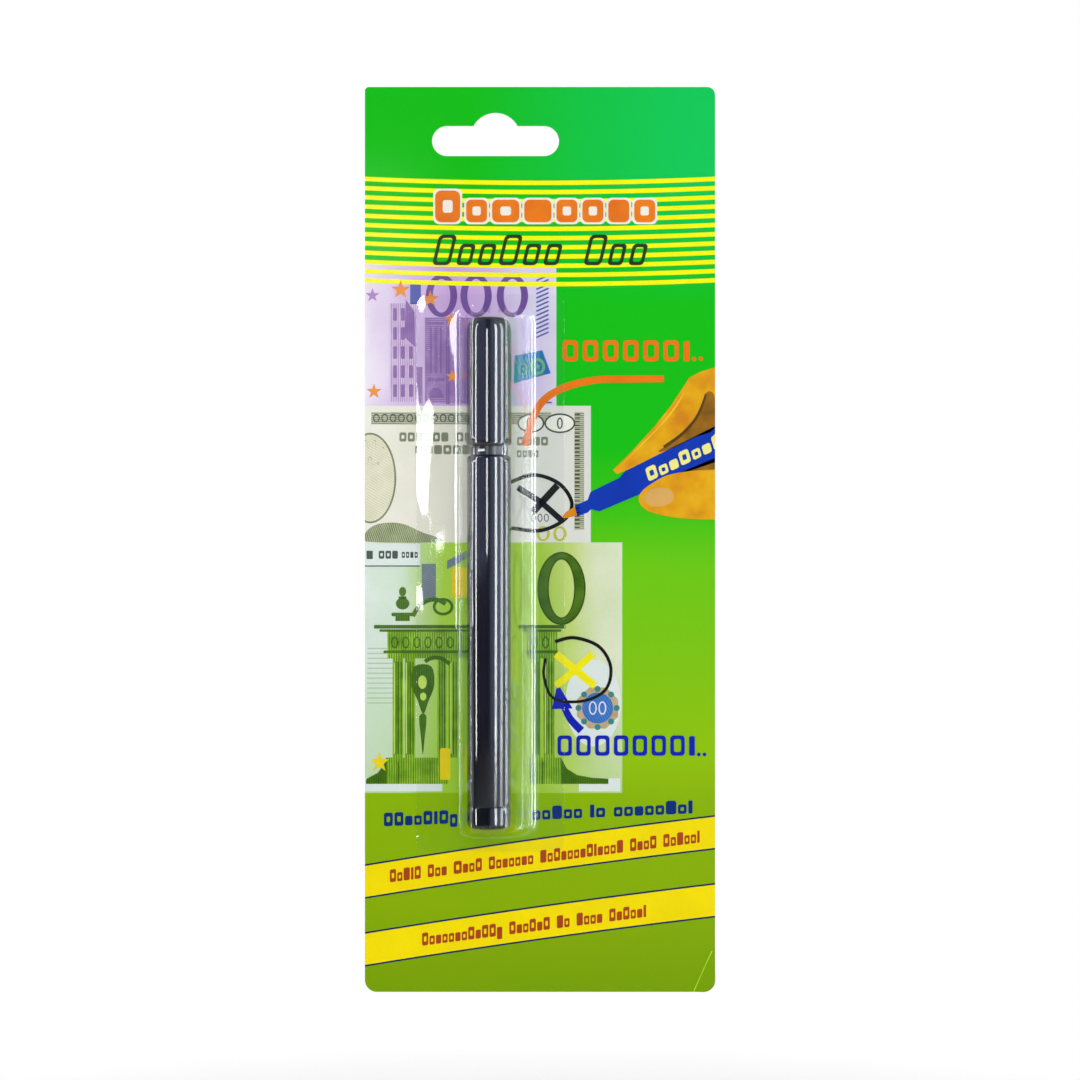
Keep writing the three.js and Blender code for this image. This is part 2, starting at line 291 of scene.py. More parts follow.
def raise_surface(tree, shader, height, strength, distance):
    bump = put(tree, "Bump", {"Height": height, "Strength": strength, "Distance": distance})
    tree.links.new(bump.outputs["Normal"], shader.inputs["Normal"])


def varnish(shader):
    """The clear varnish over every printed layer."""
    shader.inputs["Specular IOR Level"].default_value = 0.03
    shader.inputs["Coat Roughness"].default_value = 0.12
    shader.inputs["Coat Weight"].default_value = 0.1


def ink(name, colour, deep=None, clouds=0.35, size=120.0, grain=0.06, paint=None):
    """A varnished printing ink. `paint` may rework the tint before the screen grain is added."""
    made, tree, shader = new_material(name)
    first = tint(colour)
    last = tint(deep or colour)
    source = paint(tree, first, last) if paint else first
    made_ink = use(
        tree,
        press_ink,
        Ink=source,
        Deep_ink=last,
        Cloud_size=size,
        Cloud_amount=clouds,
        Grain=grain,
    )
    tree.links.new(made_ink["Color"], shader.inputs["Base Color"])
    tree.links.new(made_ink["Roughness"], shader.inputs["Roughness"])
    varnish(shader)
    raise_surface(tree, shader, made_ink["Height"], 0.12, 0.00002)
    return made


def engraved(name, paper, line, pitch_mm=0.7, turn=0.0, sway=2.0, weight=0.8, clouds=0.3):
    """Ink printed from an engraved plate, with its lines `pitch_mm` apart."""

    def lines(tree, first, last):
        found = use(
            tree,
            engraving,
            Paper=first,
            Line=last,
            Pitch_scale=0.314 / (pitch_mm * MM),
            Turn=math.radians(turn),
            Sway=sway,
            Weight=weight,
        )
        return found["Color"]

    return ink(name, paper, line, clouds=clouds, size=200.0, paint=lines)


def across(tree, low, high, axis="X"):
    """0 to 1 from one millimetre place to another along an axis."""
    values = dict(zip("XYZ", axis_values(tree)))
    return between(tree, values[axis], low * MM, high * MM)


def board_print(tree, first, last):
    """The card's ground: full green at the head that yellows and darkens towards the foot, with a painted
    lamp reflection that turns the top right a bluer, lighter green.
    """
    down = across(tree, HEAD, FOOT, "Z")
    stops = [
        (0.0, "02c008"),
        (0.20, "00c204"),
        (0.40, "04c402"),
        (0.47, "3cc800"),
        (0.53, "6ccc00"),
        (0.62, "7ec800"),
        (0.74, "92c600"),
        (0.79, "8cb600"),
        (0.90, "8ab000"),
        (1.0, "7aa200"),
    ]
    plain = ramp(tree, down, [(at, tint(code)) for at, code in stops])
    # painted reflection of a lamp on the varnish: the top right blends to a bluer, lighter green
    painted_sheen = sums(tree, "MULTIPLY", across(tree, -6.0, 50.0), across(tree, -48.0, -18.0, "Z"))
    return blend(tree, painted_sheen, plain, tint("00cc5a"))


def make_board_back():
    made, tree, shader = new_material("board_back")
    spot = place(tree)
    fibre = put(tree, "TexNoise", {"Vector": spot, "Scale": 900.0, "Detail": 5.0})
    fleck = put(tree, "TexNoise", {"Vector": spot, "Scale": 140.0, "Detail": 4.0})
    pulp = ramp(
        tree,
        fibre.outputs["Fac"],
        [(0.3, tint("c9c7bf")), (0.55, tint("dddbd3")), (0.8, tint("e9e7e0"))],
    )
    worn = between(tree, fleck.outputs["Fac"], 0.45, 0.8, 0.0, 0.35)
    tree.links.new(blend(tree, worn, pulp, tint("b9b5a8")), shader.inputs["Base Color"])
    tree.links.new(between(tree, fibre.outputs["Fac"], 0.3, 0.7, 0.7, 0.88), shader.inputs["Roughness"])
    raise_surface(tree, shader, fibre.outputs["Fac"], 0.3, 0.00005)
    return made


def make_board_edge():
    made, tree, shader = new_material("board_edge")
    plies = put(
        tree,
        "TexWave",
        {"Vector": place(tree), "Scale": 2600.0, "Distortion": 3.0, "Detail": 2.0},
        wave_type="BANDS",
        bands_direction="Y",
    )
    shade = ramp(tree, plies.outputs["Fac"], [(0.2, tint("cfccc2")), (0.8, tint("efede6"))])
    tree.links.new(shade, shader.inputs["Base Color"])
    shader.inputs["Roughness"].default_value = 0.85
    raise_surface(tree, shader, plies.outputs["Fac"], 0.4, 0.00005)
    return made


def make_black(name, roughness, coat):
    """Black moulding with faint flow ripples and traces of handling."""
    made, tree, shader = new_material(name)
    trace = use(
        tree,
        handling,
        Base_roughness=roughness,
        Scratches=0.03,
        Dust=0.02,
        Ripple_size=160.0,
    )
    drift = put(tree, "TexNoise", {"Vector": place(tree), "Scale": 70.0, "Detail": 2.0})
    deep = ramp(tree, drift.outputs["Fac"], [(0.3, tint("0b0b0e")), (0.7, tint("131318"))])
    tree.links.new(blend(tree, trace["Dust mask"], deep, tint("4a4a50")), shader.inputs["Base Color"])
    tree.links.new(trace["Roughness"], shader.inputs["Roughness"])
    shader.inputs["Coat Weight"].default_value = coat
    shader.inputs["Coat Roughness"].default_value = 0.04
    raise_surface(tree, shader, trace["Height"], 0.25, 0.00005)
    return made


MIRROR_LIMIT = 0.28  # most that a slanting face of the film mirrors
INNER_LOSS = 0.85  # share of its shine that the film's inner face gives up


def make_film(name, haze, shine_share=1.0):
    """Clear sheet: what lies behind shows through, and each face mirrors by its angle."""
    made = bpy.data.materials.new(name)
    made.use_nodes = True
    tree = made.node_tree
    tree.nodes.clear()
    trace = use(
        tree,
        handling,
        Base_roughness=0.025,
        Scratches=0.05,
        Dust=0.02,
        Ripple_size=130.0,
    )
    bump = put(tree, "Bump", {"Height": trace["Height"], "Strength": 0.3, "Distance": 0.0001})
    normal = bump.outputs["Normal"]
    clear = put(tree, "BsdfTransparent", {"Color": (0.99, 0.995, 0.995, 1)})
    shine = put(
        tree,
        "BsdfGlossy",
        {"Color": (0.97, 0.985, 1.0, 1), "Roughness": trace["Roughness"], "Normal": normal},
    )
    edge = put(tree, "Fresnel", {"IOR": 1.5, "Normal": normal}).outputs[0]
    edge = sums(tree, "MULTIPLY", sums(tree, "MINIMUM", edge, MIRROR_LIMIT), shine_share)
    share = sums(tree, "ADD", edge, haze, clamp=True)
    path = put(tree, "LightPath").outputs
    soft = sums(tree, "MAXIMUM", path["Is Shadow Ray"], path["Is Diffuse Ray"])
    inner = put(tree, "NewGeometry").outputs["Backfacing"]
    soft = sums(tree, "MAXIMUM", soft, sums(tree, "MULTIPLY", inner, INNER_LOSS))
    share = sums(tree, "MULTIPLY", share, sums(tree, "SUBTRACT", 1.0, soft))
    mixed = put(tree, "MixShader", {0: share, 1: clear.outputs[0], 2: shine.outputs[0]})
    out = put(tree, "OutputMaterial")
    tree.links.new(mixed.outputs[0], out.inputs["Surface"])
    return made


def make_fibre(name, colour, deep, stretch):
    """Bonded fibre that runs along the pen."""
    made, tree, shader = new_material(name)
    along = put(tree, "Mapping", {"Vector": place(tree), "Scale": (1.0, 1.0, stretch)}).outputs[0]
    strand = put(tree, "TexNoise", {"Vector": along, "Scale": 5200.0, "Detail": 3.0})
    shade = ramp(tree, strand.outputs["Fac"], [(0.35, tint(deep)), (0.65, tint(colour))])
    tree.links.new(shade, shader.inputs["Base Color"])
    tree.links.new(between(tree, strand.outputs["Fac"], 0.3, 0.7, 0.65, 0.9), shader.inputs["Roughness"])
    raise_surface(tree, shader, strand.outputs["Fac"], 0.6, 0.00006)
    return made


def make_soft_plastic():
    made, tree, shader = new_material("liner_plastic")
    trace = use(tree, handling, Base_roughness=0.4, Scratches=0.1, Dust=0.1, Ripple_size=200.0)
    milk = put(tree, "TexNoise", {"Vector": place(tree), "Scale": 300.0, "Detail": 2.0})
    shade = ramp(tree, milk.outputs["Fac"], [(0.3, tint("dcdad2")), (0.7, tint("efeee9"))])
    tree.links.new(shade, shader.inputs["Base Color"])
    tree.links.new(trace["Roughness"], shader.inputs["Roughness"])
    shader.inputs["Subsurface Weight"].default_value = 0.15
    shader.inputs["Subsurface Radius"].default_value = (0.001, 0.001, 0.001)
    raise_surface(tree, shader, trace["Height"], 0.2, 0.00005)
    return made


black_gloss = make_black("black_gloss", 0.06, 0.5)
black_satin = make_black("black_satin", 0.3, 0.0)
board_back = make_board_back()
board_edge = make_board_edge()
clear_film = make_film("clear_film", 0.012)
film_edge = make_film("film_edge", 0.02, 0.15)
wrap_film = make_film("reservoir_wrap", 0.05)
nib_fibre = make_fibre("nib_fibre", "d79a3e", "8a5414", 0.05)
reservoir_fibre = make_fibre("reservoir_fibre", "e9dfc4", "c4b48c", 0.03)
liner_plastic = make_soft_plastic()


# ---------------------------------------------------------------- flat outlines, in (x, z) millimetres


def arc(cx, cz, rx, rz, start, end, steps):
    turns = [math.radians(start + (end - start) * i / steps) for i in range(steps + 1)]
    return [(cx + rx * math.cos(t), cz + rz * math.sin(t)) for t in turns]


def oval(cx, cz, rx, rz, steps=48):
    return arc(cx, cz, rx, rz, 0, 360, steps)[:-1]


def ring(cx, cz, rx, rz, wide, tall=None):
    """An oval band, `wide` at its sides and `tall` at its top and foot."""
    return [oval(cx, cz, rx, rz), oval(cx, cz, rx - wide, rz - (tall or wide))[::-1]]


def bar(x0, z0, x1, z1, r=0.0):
    """A rectangle with its corners rounded by r."""
    if not r:
        return [(x0, z0), (x1, z0), (x1, z1), (x0, z1)]
    corners = ((x1 - r, z0 + r, -90), (x1 - r, z1 - r, 0), (x0 + r, z1 - r, 90), (x0 + r, z0 + r, 180))
    return [p for cx, cz, turn in corners for p in arc(cx, cz, r, r, turn, turn + 90, 5)]


def star(cx, cz, r, turn=90):
    spokes = range(10)
    return [
        (
            cx + (r if i % 2 == 0 else 0.4 * r) * math.cos(math.radians(turn + 36 * i)),
            cz + (r if i % 2 == 0 else 0.4 * r) * math.sin(math.radians(turn + 36 * i)),
        )
        for i in spokes
    ]


def spun(points, cx, cz, degrees):
    c, s = math.cos(math.radians(degrees)), math.sin(math.radians(degrees))
    return [(cx + (x - cx) * c - (z - cz) * s, cz + (x - cx) * s + (z - cz) * c) for x, z in points]


def flowing(points, steps=8, closed=True):
    """A smooth line through the points."""
    count = len(points)
    spans = count if closed else count - 1
    found = []
    for i in range(spans):
        near = [(i + k) % count if closed else min(max(i + k, 0), count - 1) for k in (-1, 0, 1, 2)]
        four = [points[k] for k in near]
        for j in range(steps):
            t = j / steps
            weights = (
                -0.5 * t + t**2 - 0.5 * t**3,
                1 - 2.5 * t**2 + 1.5 * t**3,
                0.5 * t + 2 * t**2 - 1.5 * t**3,
                -0.5 * t**2 + 0.5 * t**3,
            )
            found.append(tuple(sum(w * p[k] for w, p in zip(weights, four)) for k in (0, 1)))
    return found if closed else found + [points[-1]]


def stroke(points, width, taper=1.0):
    """A brush stroke along the points, its end `taper` times its starting width."""
    left, right = [], []
    last = len(points) - 1
    for i, (x, z) in enumerate(points):
        ax, az = points[max(i - 1, 0)]
        bx, bz = points[min(i + 1, last)]
        size = math.hypot(bx - ax, bz - az) or 1.0
        half = width / 2 * (1 + (taper - 1) * i / last)
        nx, nz = -(bz - az) / size * half, (bx - ax) / size * half
        left.append((x + nx, z + nz))
        right.append((x - nx, z - nz))
    return left + right[::-1]


# shapes of greeked letters: width share, foot and head as shares of the full height
GREEK = {
    "X": (1.0, 0.0, 1.0),
    "M": (1.3, 0.0, 1.0),
    "x": (0.84, 0.0, 0.7),
    "m": (1.15, 0.0, 0.7),
    "q": (0.84, -0.26, 0.7),
    "i": (0.4, 0.0, 0.96),
    " ": (0.75, 0.0, 0.0),
}
SOLID_EVERY = 3  # every third greeked letter has no eye


def greek(left, right, base, height, pattern, gap=0.5, lean=0.0, climb=0.0, grow=0.0, thin=0.0):
    """Words as rows of rounded blocks that stand in for letters; `thin` leaves only their rims."""

    def slanted(px, pz):
        return px + lean * (pz - base), pz + climb * (px - left)

    shares = [GREEK[mark][0] for mark in pattern]
    unit = (right - left - gap * (len(pattern) - 1)) / sum(shares)
    islands = []
    x = left
    for i, mark in enumerate(pattern):
        share, foot, head = GREEK[mark]
        wide, z0, z1 = unit * share, base + foot * height, base + head * height
        if head:
            round_off = 0.25 * min(wide, z1 - z0)
            loops = [bar(x - grow, z0 - grow, x + wide + grow, z1 + grow, round_off)]
            if thin and mark != "i":
                loops.append(bar(x + thin, z0 + thin, x + wide - thin, z1 - thin, 0.6 * round_off)[::-1])
            elif (i + 1) % SOLID_EVERY and mark != "i" and not grow:
                eye, rise = 0.3 * wide, 0.3 * (z1 - z0)
                loops.append(bar(x + eye, z0 + rise, x + wide - eye, z1 - rise, 0.1 * wide)[::-1])
            islands.append([[slanted(px, pz) for px, pz in loop] for loop in loops])
        x += wide + gap
    return islands


# ---------------------------------------------------------------- solids from outlines


def new_piece(name, verts, faces, materials, body, smooth_below=None):
    mesh = bpy.data.meshes.new(name)
    mesh.from_pydata(verts, [], faces)
    work = bmesh.new()
    work.from_mesh(mesh)
    bmesh.ops.remove_doubles(work, verts=work.verts, dist=1e-8)
    bmesh.ops.recalc_face_normals(work, faces=work.faces)
    work.to_mesh(mesh)
    work.free()
    for finish in materials:
        mesh.materials.append(finish)
    if smooth_below:
        mesh.shade_smooth()
        mesh.set_sharp_from_angle(angle=math.radians(smooth_below))
    piece = bpy.data.objects.new(name, mesh)
    bpy.context.scene.collection.objects.link(piece)
    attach(piece, body)
    return piece


def slab_data(islands, front, back):
    """Closed plates in the XZ plane between two depths; an island is an outline and its holes."""
    verts, faces = [], []
    for loops in islands:
        flat = [point for loop in loops for point in loop]
        start, count = len(verts), len(flat)
        verts += [(x * MM, front * MM, z * MM) for x, z in flat]
        verts += [(x * MM, back * MM, z * MM) for x, z in flat]
        for a, b, c in tessellate_polygon([[Vector((x, z, 0)) for x, z in loop] for loop in loops]):
            faces.append((start + a, start + b, start + c))
            faces.append((start + count + c, start + count + b, start + count + a))
        offset = start
        for loop in loops:
            size = len(loop)
            for i in range(size):
                j = (i + 1) % size
                faces.append((offset + i, offset + j, offset + count + j, offset + count + i))
            offset += size
    return verts, faces


def printed(name, layer, finish, islands):
    """Ink islands on a numbered print layer of the card. A bare outline is an island without holes."""
    whole = [island if isinstance(island[0], list) else [island] for island in islands]
    whole = [[[(min(max(x, LEFT), RIGHT), z) for x, z in loop] for loop in loops] for loops in whole]
    back = FACE - layer * INK_STEP
    verts, faces = slab_data(whole, back - INK, back)
    piece = new_piece(name, verts, faces, [finish], "card")
    return piece


# ---------------------------------------------------------------- hang card

SLOT_WIDE, SLOT_TALL = 32.0, 7.6
HUMP_RADIUS, HUMP_RISE = 6.3, 3.3
HEAD_CORNERS = (1.0, 2.0)
FOOT_CORNER = 3.0


def slot_outline():
    end = SLOT_TALL / 2
    side = SLOT_WIDE / 2 - end
    start = math.degrees(math.asin((HUMP_RADIUS - HUMP_RISE) / HUMP_RADIUS))
    points = arc(side, -HUMP_RISE - end, end, end, -90, 90, 16)
    points += arc(0, -HUMP_RADIUS, HUMP_RADIUS, HUMP_RADIUS, start, 180 - start, 24)
    return points + arc(-side, -HUMP_RISE - end, end, end, 90, 270, 16)


def card_outline():
    left, right = HEAD_CORNERS
    r = FOOT_CORNER
    points = arc(RIGHT - r, FOOT + r, r, r, -90, 0, 10)
    points += arc(RIGHT - right, HEAD - right, right, right, 0, 90, 8)
    points += arc(LEFT + left, HEAD - left, left, left, 90, 180, 6)
    return points + arc(LEFT + r, FOOT + r, r, r, 180, 270, 10)


CREASE_A = (RIGHT - 5.2, FOOT)
CREASE_B = (RIGHT, FOOT + 11.5)
CREASE_LIFT = 0.14  # rise of the bent corner per millimetre from the crease


def bend_corner(mesh):
    """Folds the card's foot corner forwards a little along its crease."""
    along = Vector((CREASE_B[0] - CREASE_A[0], 0, CREASE_B[1] - CREASE_A[1])).normalized()
    outward = Vector((along.z, 0, -along.x))
    point = Vector((CREASE_A[0], 0, CREASE_A[1])) * MM
    work = bmesh.new()
    work.from_mesh(mesh)
    everything = work.verts[:] + work.edges[:] + work.faces[:]
    bmesh.ops.bisect_plane(work, geom=everything, plane_co=point, plane_no=outward, dist=1e-7)
    for vert in work.verts:
        beyond = (vert.co - point).dot(outward)
        if beyond > 0:
            vert.co.y -= beyond * CREASE_LIFT
    work.to_mesh(mesh)
    work.free()


def make_card():
    ground = ink("card_ground", "00c006", "00b000", clouds=0.06, size=30.0, paint=board_print)
    verts, faces = slab_data([[card_outline(), slot_outline()[::-1]]], FACE, BACK)
    piece = new_piece("printed_card", verts, faces, [ground, board_edge, board_back], "card")
    for face in piece.data.polygons:
        if abs(face.normal.y) < 0.5:
            face.material_index = 1
        elif face.normal.y > 0:
            face.material_index = 2
    bend_corner(piece.data)
    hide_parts("hang_card")


make_card()


# ---------------------------------------------------------------- print: stripes and title

STRIPES = 12
STRIPE_TOP, STRIPE_PITCH, STRIPE_TALL, STRIPE_SAG = -16.1, 2.32, 1.13, 1.0


def stripe(index):
    """One full-width stripe that sags a little at mid-card."""
    top = STRIPE_TOP - index * STRIPE_PITCH
    steps = 20
    shares = [i / steps for i in range(steps + 1)]
    places = [(LEFT + (RIGHT - LEFT) * s, top - 4 * STRIPE_SAG * s * (1 - s)) for s in shares]
    return places + [(x, z - STRIPE_TALL) for x, z in places[::-1]]


def make_title():
    yellow = ink("stripe_yellow", "fdff00", "ece600", clouds=0.3)
    printed("stripes", 3, yellow, [stripe(i) for i in range(STRIPES)])
    white = ink("outline_white", "f4f1e6", "e4ded0")
    orange = ink("title_orange", "f08018", "d45c0c", clouds=0.5)
    first = dict(left=-15.2, right=-8.9, base=-27.6, height=8.0, pattern="X")
    rest = dict(left=-7.4, right=40.2, base=-27.6, height=5.7, pattern="XMMXXXX", gap=1.25)
    printed("title_outline", 4, white, greek(**first, grow=0.5) + greek(**rest, grow=0.5))
    printed("title_blocks", 5, orange, greek(**first) + greek(**rest))
    dark = ink("subtitle_dark", "26401a", "142410", clouds=0.4)
    words = greek(-16.0, 37.2, -38.4, 7.7, "XxxXxx Xxx", 1.5, lean=0.24, thin=0.85)
    printed("subtitle_blocks", 5, dark, words)


def inset(loop, by):
    """The loop shrunk towards its middle by about `by`."""
    cx = sum(x for x, _ in loop) / len(loop)
    cz = sum(z for _, z in loop) / len(loop)
    wide = max(x for x, _ in loop) - min(x for x, _ in loop)
    tall = max(z for _, z in loop) - min(z for _, z in loop)
    return [(cx + (x - cx) * (1 - 2 * by / wide), cz + (z - cz) * (1 - 2 * by / tall)) for x, z in loop]


make_title()


# ---------------------------------------------------------------- print: the three play notes

VIOLET_RIGHT, VIOLET_TOP, VIOLET_LOW = 15.3, -38.0, -73.8
GREY_RIGHT, GREY_LOW = 24.0, -108.2
GREEN_RIGHT, GREEN_LOW = 31.9, -171.3


def violet_ground(tree, first, last):
    stops = [
        (0.0, "efe8f6"),
        (0.25, "dcc6ea"),
        (0.45, "c9a6dc"),
        (0.62, "d3b4e6"),
        (0.85, "dcd6f0"),
        (1.0, "e4e2f4"),
    ]
    return ramp(tree, across(tree, LEFT, VIOLET_RIGHT), [(at, tint(code)) for at, code in stops])


def make_violet_note():
    ground = ink("violet_paper", "dcc6ee", "ba94d2", clouds=0.35, size=70.0, paint=violet_ground)
    printed("violet_note", 1, ground, [bar(LEFT, VIOLET_LOW, VIOLET_RIGHT, VIOLET_TOP)])
    deep = engraved("violet_numeral", "7c5aa4", "5a3c86", 0.45, 30, 3.0, 0.7)
    zeros = [ring(x, -46.1, 3.95, 5.4, 1.75, 1.15) for x in (-13.6, -4.9, 4.25)]
    printed("violet_zeros", 2, deep, zeros)
    purple = ink("star_purple", "b088cc", "9a6cbc")
    orange = ink("star_orange", "f09a3c", "d8741c", clouds=0.6)
    printed("violet_star", 2, purple, [star(-31.0, -46.0, 1.85)])
    places = (
        (-23.9, -44.6, 2.5),
        (-16.4, -46.9, 2.2),
        (-11.2, -52.0, 1.8),
        (-10.9, -66.4, 1.7),
        (-30.6, -70.2, 2.0),
    )
    printed("note_stars", 4, orange, [star(x, z, r) for x, z, r in places])
    blue = ink("hatch_blue", "5a64b4", "3c4698")
    hatch = [spun(bar(10.2, z, 13.6, z + 0.42), 11.9, z, 24) for z in [-41.8 - 1.1 * i for i in range(14)]]
    printed("violet_hatch", 2, blue, hatch)
    printed("violet_window", 2, blue, [bar(-21.5, -48.2, -18.8, -42.4), bar(12.2, -73.2, 14.2, -72.8)])
    make_violet_building()
    make_hologram()


def make_violet_building():
    pale = engraved("violet_stone", "d9c6e4", "9a78b4", 0.55, 0, 1.2, 0.75)
    dark = engraved("violet_shade", "9c7ab8", "6c4c90", 0.5, 0, 1.2, 0.8)
    printed("violet_tower", 2, pale, [bar(-26.6, -72.8, -19.9, -48.0)])
    facade = engraved("violet_facade", "b795cc", "7c5a9c", 0.5, 90, 1.6, 0.8, 0.5)
    printed("violet_facade", 2, facade, [bar(-17.8, -73.2, -3.0, -51.6), bar(-19.9, -73.2, -18.4, -64.0)])
    windows = [
        bar(x, z, x + 1.0, z + 3.2, 0.3)
        for x in (-25.8, -23.8, -21.8)
        for z in (-71.6, -66.8, -62.0, -57.2, -52.4)
    ]
    spire = [(-22.9, -56.6), (-20.2, -59.0), (-20.4, -50.2), (-22.6, -47.0)]
    posts = [bar(-12.4, -73.4, -11.4, -52.4), bar(-9.6, -73.4, -9.1, -53.0), bar(-7.8, -73.4, -7.4, -54.0)]
    posts += [bar(-16.6 + 1.3 * i, -65.6, -16.0 + 1.3 * i, -54.0, 0.2) for i in range(3)]
    posts += [bar(-17.2, -53.4, -12.8, -52.9), bar(-17.2, -67.6, -12.8, -66.9), bar(-6.9, -72.0, -5.9, -52.8)]
    posts += [arc(-15.0, -71.8, 1.9, 2.6, 0, 180, 12)]
    printed("violet_windows", 3, dark, windows + posts)
    printed("violet_spire", 4, dark, [spire])


def make_hologram():
    def shimmer(tree, first, last):
        wave = put(tree, "TexWave", {"Vector": place(tree), "Scale": 190.0, "Distortion": 8.0, "Detail": 2.0})
        patches = ramp(
            tree,
            wave.outputs["Fac"],
            [(0.2, tint("2b8fa8")), (0.5, tint("59b8b8")), (0.8, tint("3a78c4"))],
        )
        return blend(tree, across(tree, 9.0, 13.5), patches, tint("2068b8"))

    foil = ink("foil_patch", "3a9ab0", "2268a8", clouds=0.4, size=300.0, paint=shimmer)
    printed("hologram_patch", 2, foil, [[(4.6, -68.2), (13.9, -65.6), (11.8, -59.8), (4.8, -61.2)]])
    green = ink("foil_green", "7cc27a", "3f9a70", clouds=0.6)
    printed(
        "hologram_seal",
        3,
        green,
        [ring(10.6, -63.9, 1.9, 2.1, 0.7), star(10.6, -63.9, 0.9), ring(6.9, -64.6, 1.1, 1.6, 0.4)],
    )


def grey_ground(tree, first, last):
    stops = [(0.0, "eff0e4"), (0.3, "ebe8d6"), (0.6, "e2e4da"), (1.0, "dfe2dc")]
    return ramp(tree, across(tree, LEFT, GREY_RIGHT), [(at, tint(code)) for at, code in stops])


def rosette(cx, cz, rx, rz, petals=14, width=0.17):
    """Guilloche rosette: a hairline that waves round an oval."""
    points = []
    for i in range(168):
        turn = 2 * math.pi * i / 168
        reach = 0.8 + 0.2 * math.cos(petals * turn)
        points.append((cx + rx * reach * math.cos(turn), cz + rz * reach * math.sin(turn)))
    return [points, inset(points, width)[::-1]]


def make_grey_note():
    ground = ink("grey_paper", "e6e6da", "d2d4c4", clouds=0.3, size=80.0, paint=grey_ground)
    printed("grey_note", 2, ground, [bar(LEFT, GREY_LOW, GREY_RIGHT, VIOLET_LOW)])
    plate = engraved("grey_plate", "c9ccb4", "6f7658", 0.5, 90, 4.0, 0.9)
    border = [bar(LEFT + 1.6, -78.5, 14.0, -75.4), bar(19.9, -105.0, 22.3, -75.4)]
    printed("grey_border", 3, plate, border)
    line = ink("grey_line", "4c5440", "363c2c", clouds=0.5)
    ticks = [bar(19.9, z, 21.2, z + 0.35) for z in [-104.6 + 0.95 * i for i in range(31)]]
    scroll = [ring(-30 + 2.1 * i, -76.9, 0.85, 1.05, 0.28) for i in range(12)]
    frames = [
        ring(16.2, -78.2, 3.9, 2.5, 0.42),
        ring(16.2, -78.2, 0.75, 1.45, 0.36),
        ring(8.9, -78.2, 3.4, 2.4, 0.42),
    ]
    frames.append(ring(8.9, -78.2, 1.1, 1.5, 0.42))
    printed("grey_engraving", 5, line, ticks + scroll + frames)
    white = ink("corner_white", "eef0e6", "dfe2d6")
    printed("grey_corners", 4, white, [oval(16.2, -78.2, 3.9, 2.5), oval(8.9, -78.2, 3.4, 2.4)])
    words = greek(-24.2, -6.0, -82.8, 2.3, "XXXXXX XX", 0.35) + greek(-20.2, -6.4, -86.0, 2.3, "XXXXXX", 0.35)
    words += greek(5.4, 13.2, -83.8, 2.2, "XXXX", 0.3) + greek(5.4, 10.8, -86.8, 1.8, "XXXX", 0.3)
    printed("grey_words", 4, engraved("grey_letter", "8d947a", "5d654a", 0.4, 45, 1.0, 0.7), words)
    make_medallion()
    small = [ring(x, -102.0, 0.62, 1.0, 0.22) for x in (9.6, 11.2, 12.8)]
    printed("grey_small_zeros", 3, line, small)
    lime = ink("lime_numeral", "c8c83c", "a8ac28", clouds=0.5)
    printed("grey_lime_zeros", 3, lime, [ring(x, -106.0, 1.7, 1.9, 0.75, 0.5) for x in (12.0, 16.2)])


def make_medallion():
    """A blank oval frame with a guilloche rosette, and a scroll below it."""
    cx, cz = -31.6, -92.0
    cream = engraved("medallion_cream", "e9e7cf", "c6c8a4", 0.6, 60, 3.0, 0.6)
    printed("medallion_ground", 3, cream, [oval(cx, cz, 6.6, 11.4)])
    olive = ink("medallion_olive", "7d8660", "565e40", clouds=0.5)
    lines = [ring(cx, cz, 6.6, 11.4, 0.45), rosette(cx, cz, 5.6, 9.9), rosette(cx, cz, 3.0, 5.4, 8, 0.14)]
    printed("medallion_lines", 5, olive, lines)
    bank = flowing(
        [
            (-32.6, -108.0),
            (-32.6, -105.6),
            (-29.6, -103.6),
            (-24.0, -103.4),
            (-18.6, -105.6),
            (-13.6, -108.0),
        ],
        6,
    )
    printed("grey_scroll", 4, engraved("scroll_green", "a9b48a", "64704a", 0.5, 20, 5.0, 0.9), [bank])


def green_ground(tree, first, last):
    stops = [
        (0.0, "e0ece8"),
        (0.14, "dcebe4"),
        (0.2, "c4dca4"),
        (0.3, "aad442"),
        (0.5, "9ccc16"),
        (0.68, "a8d03c"),
        (0.8, "c8dc80"),
        (0.9, "dde6c4"),
        (1.0, "e2ead0"),
    ]
    flat = ramp(tree, across(tree, LEFT, GREEN_RIGHT), [(at, tint(code)) for at, code in stops])
    low = across(tree, -135.0, GREEN_LOW, "Z")
    return blend(tree, sums(tree, "MULTIPLY", low, 0.5), flat, tint("98c838"))


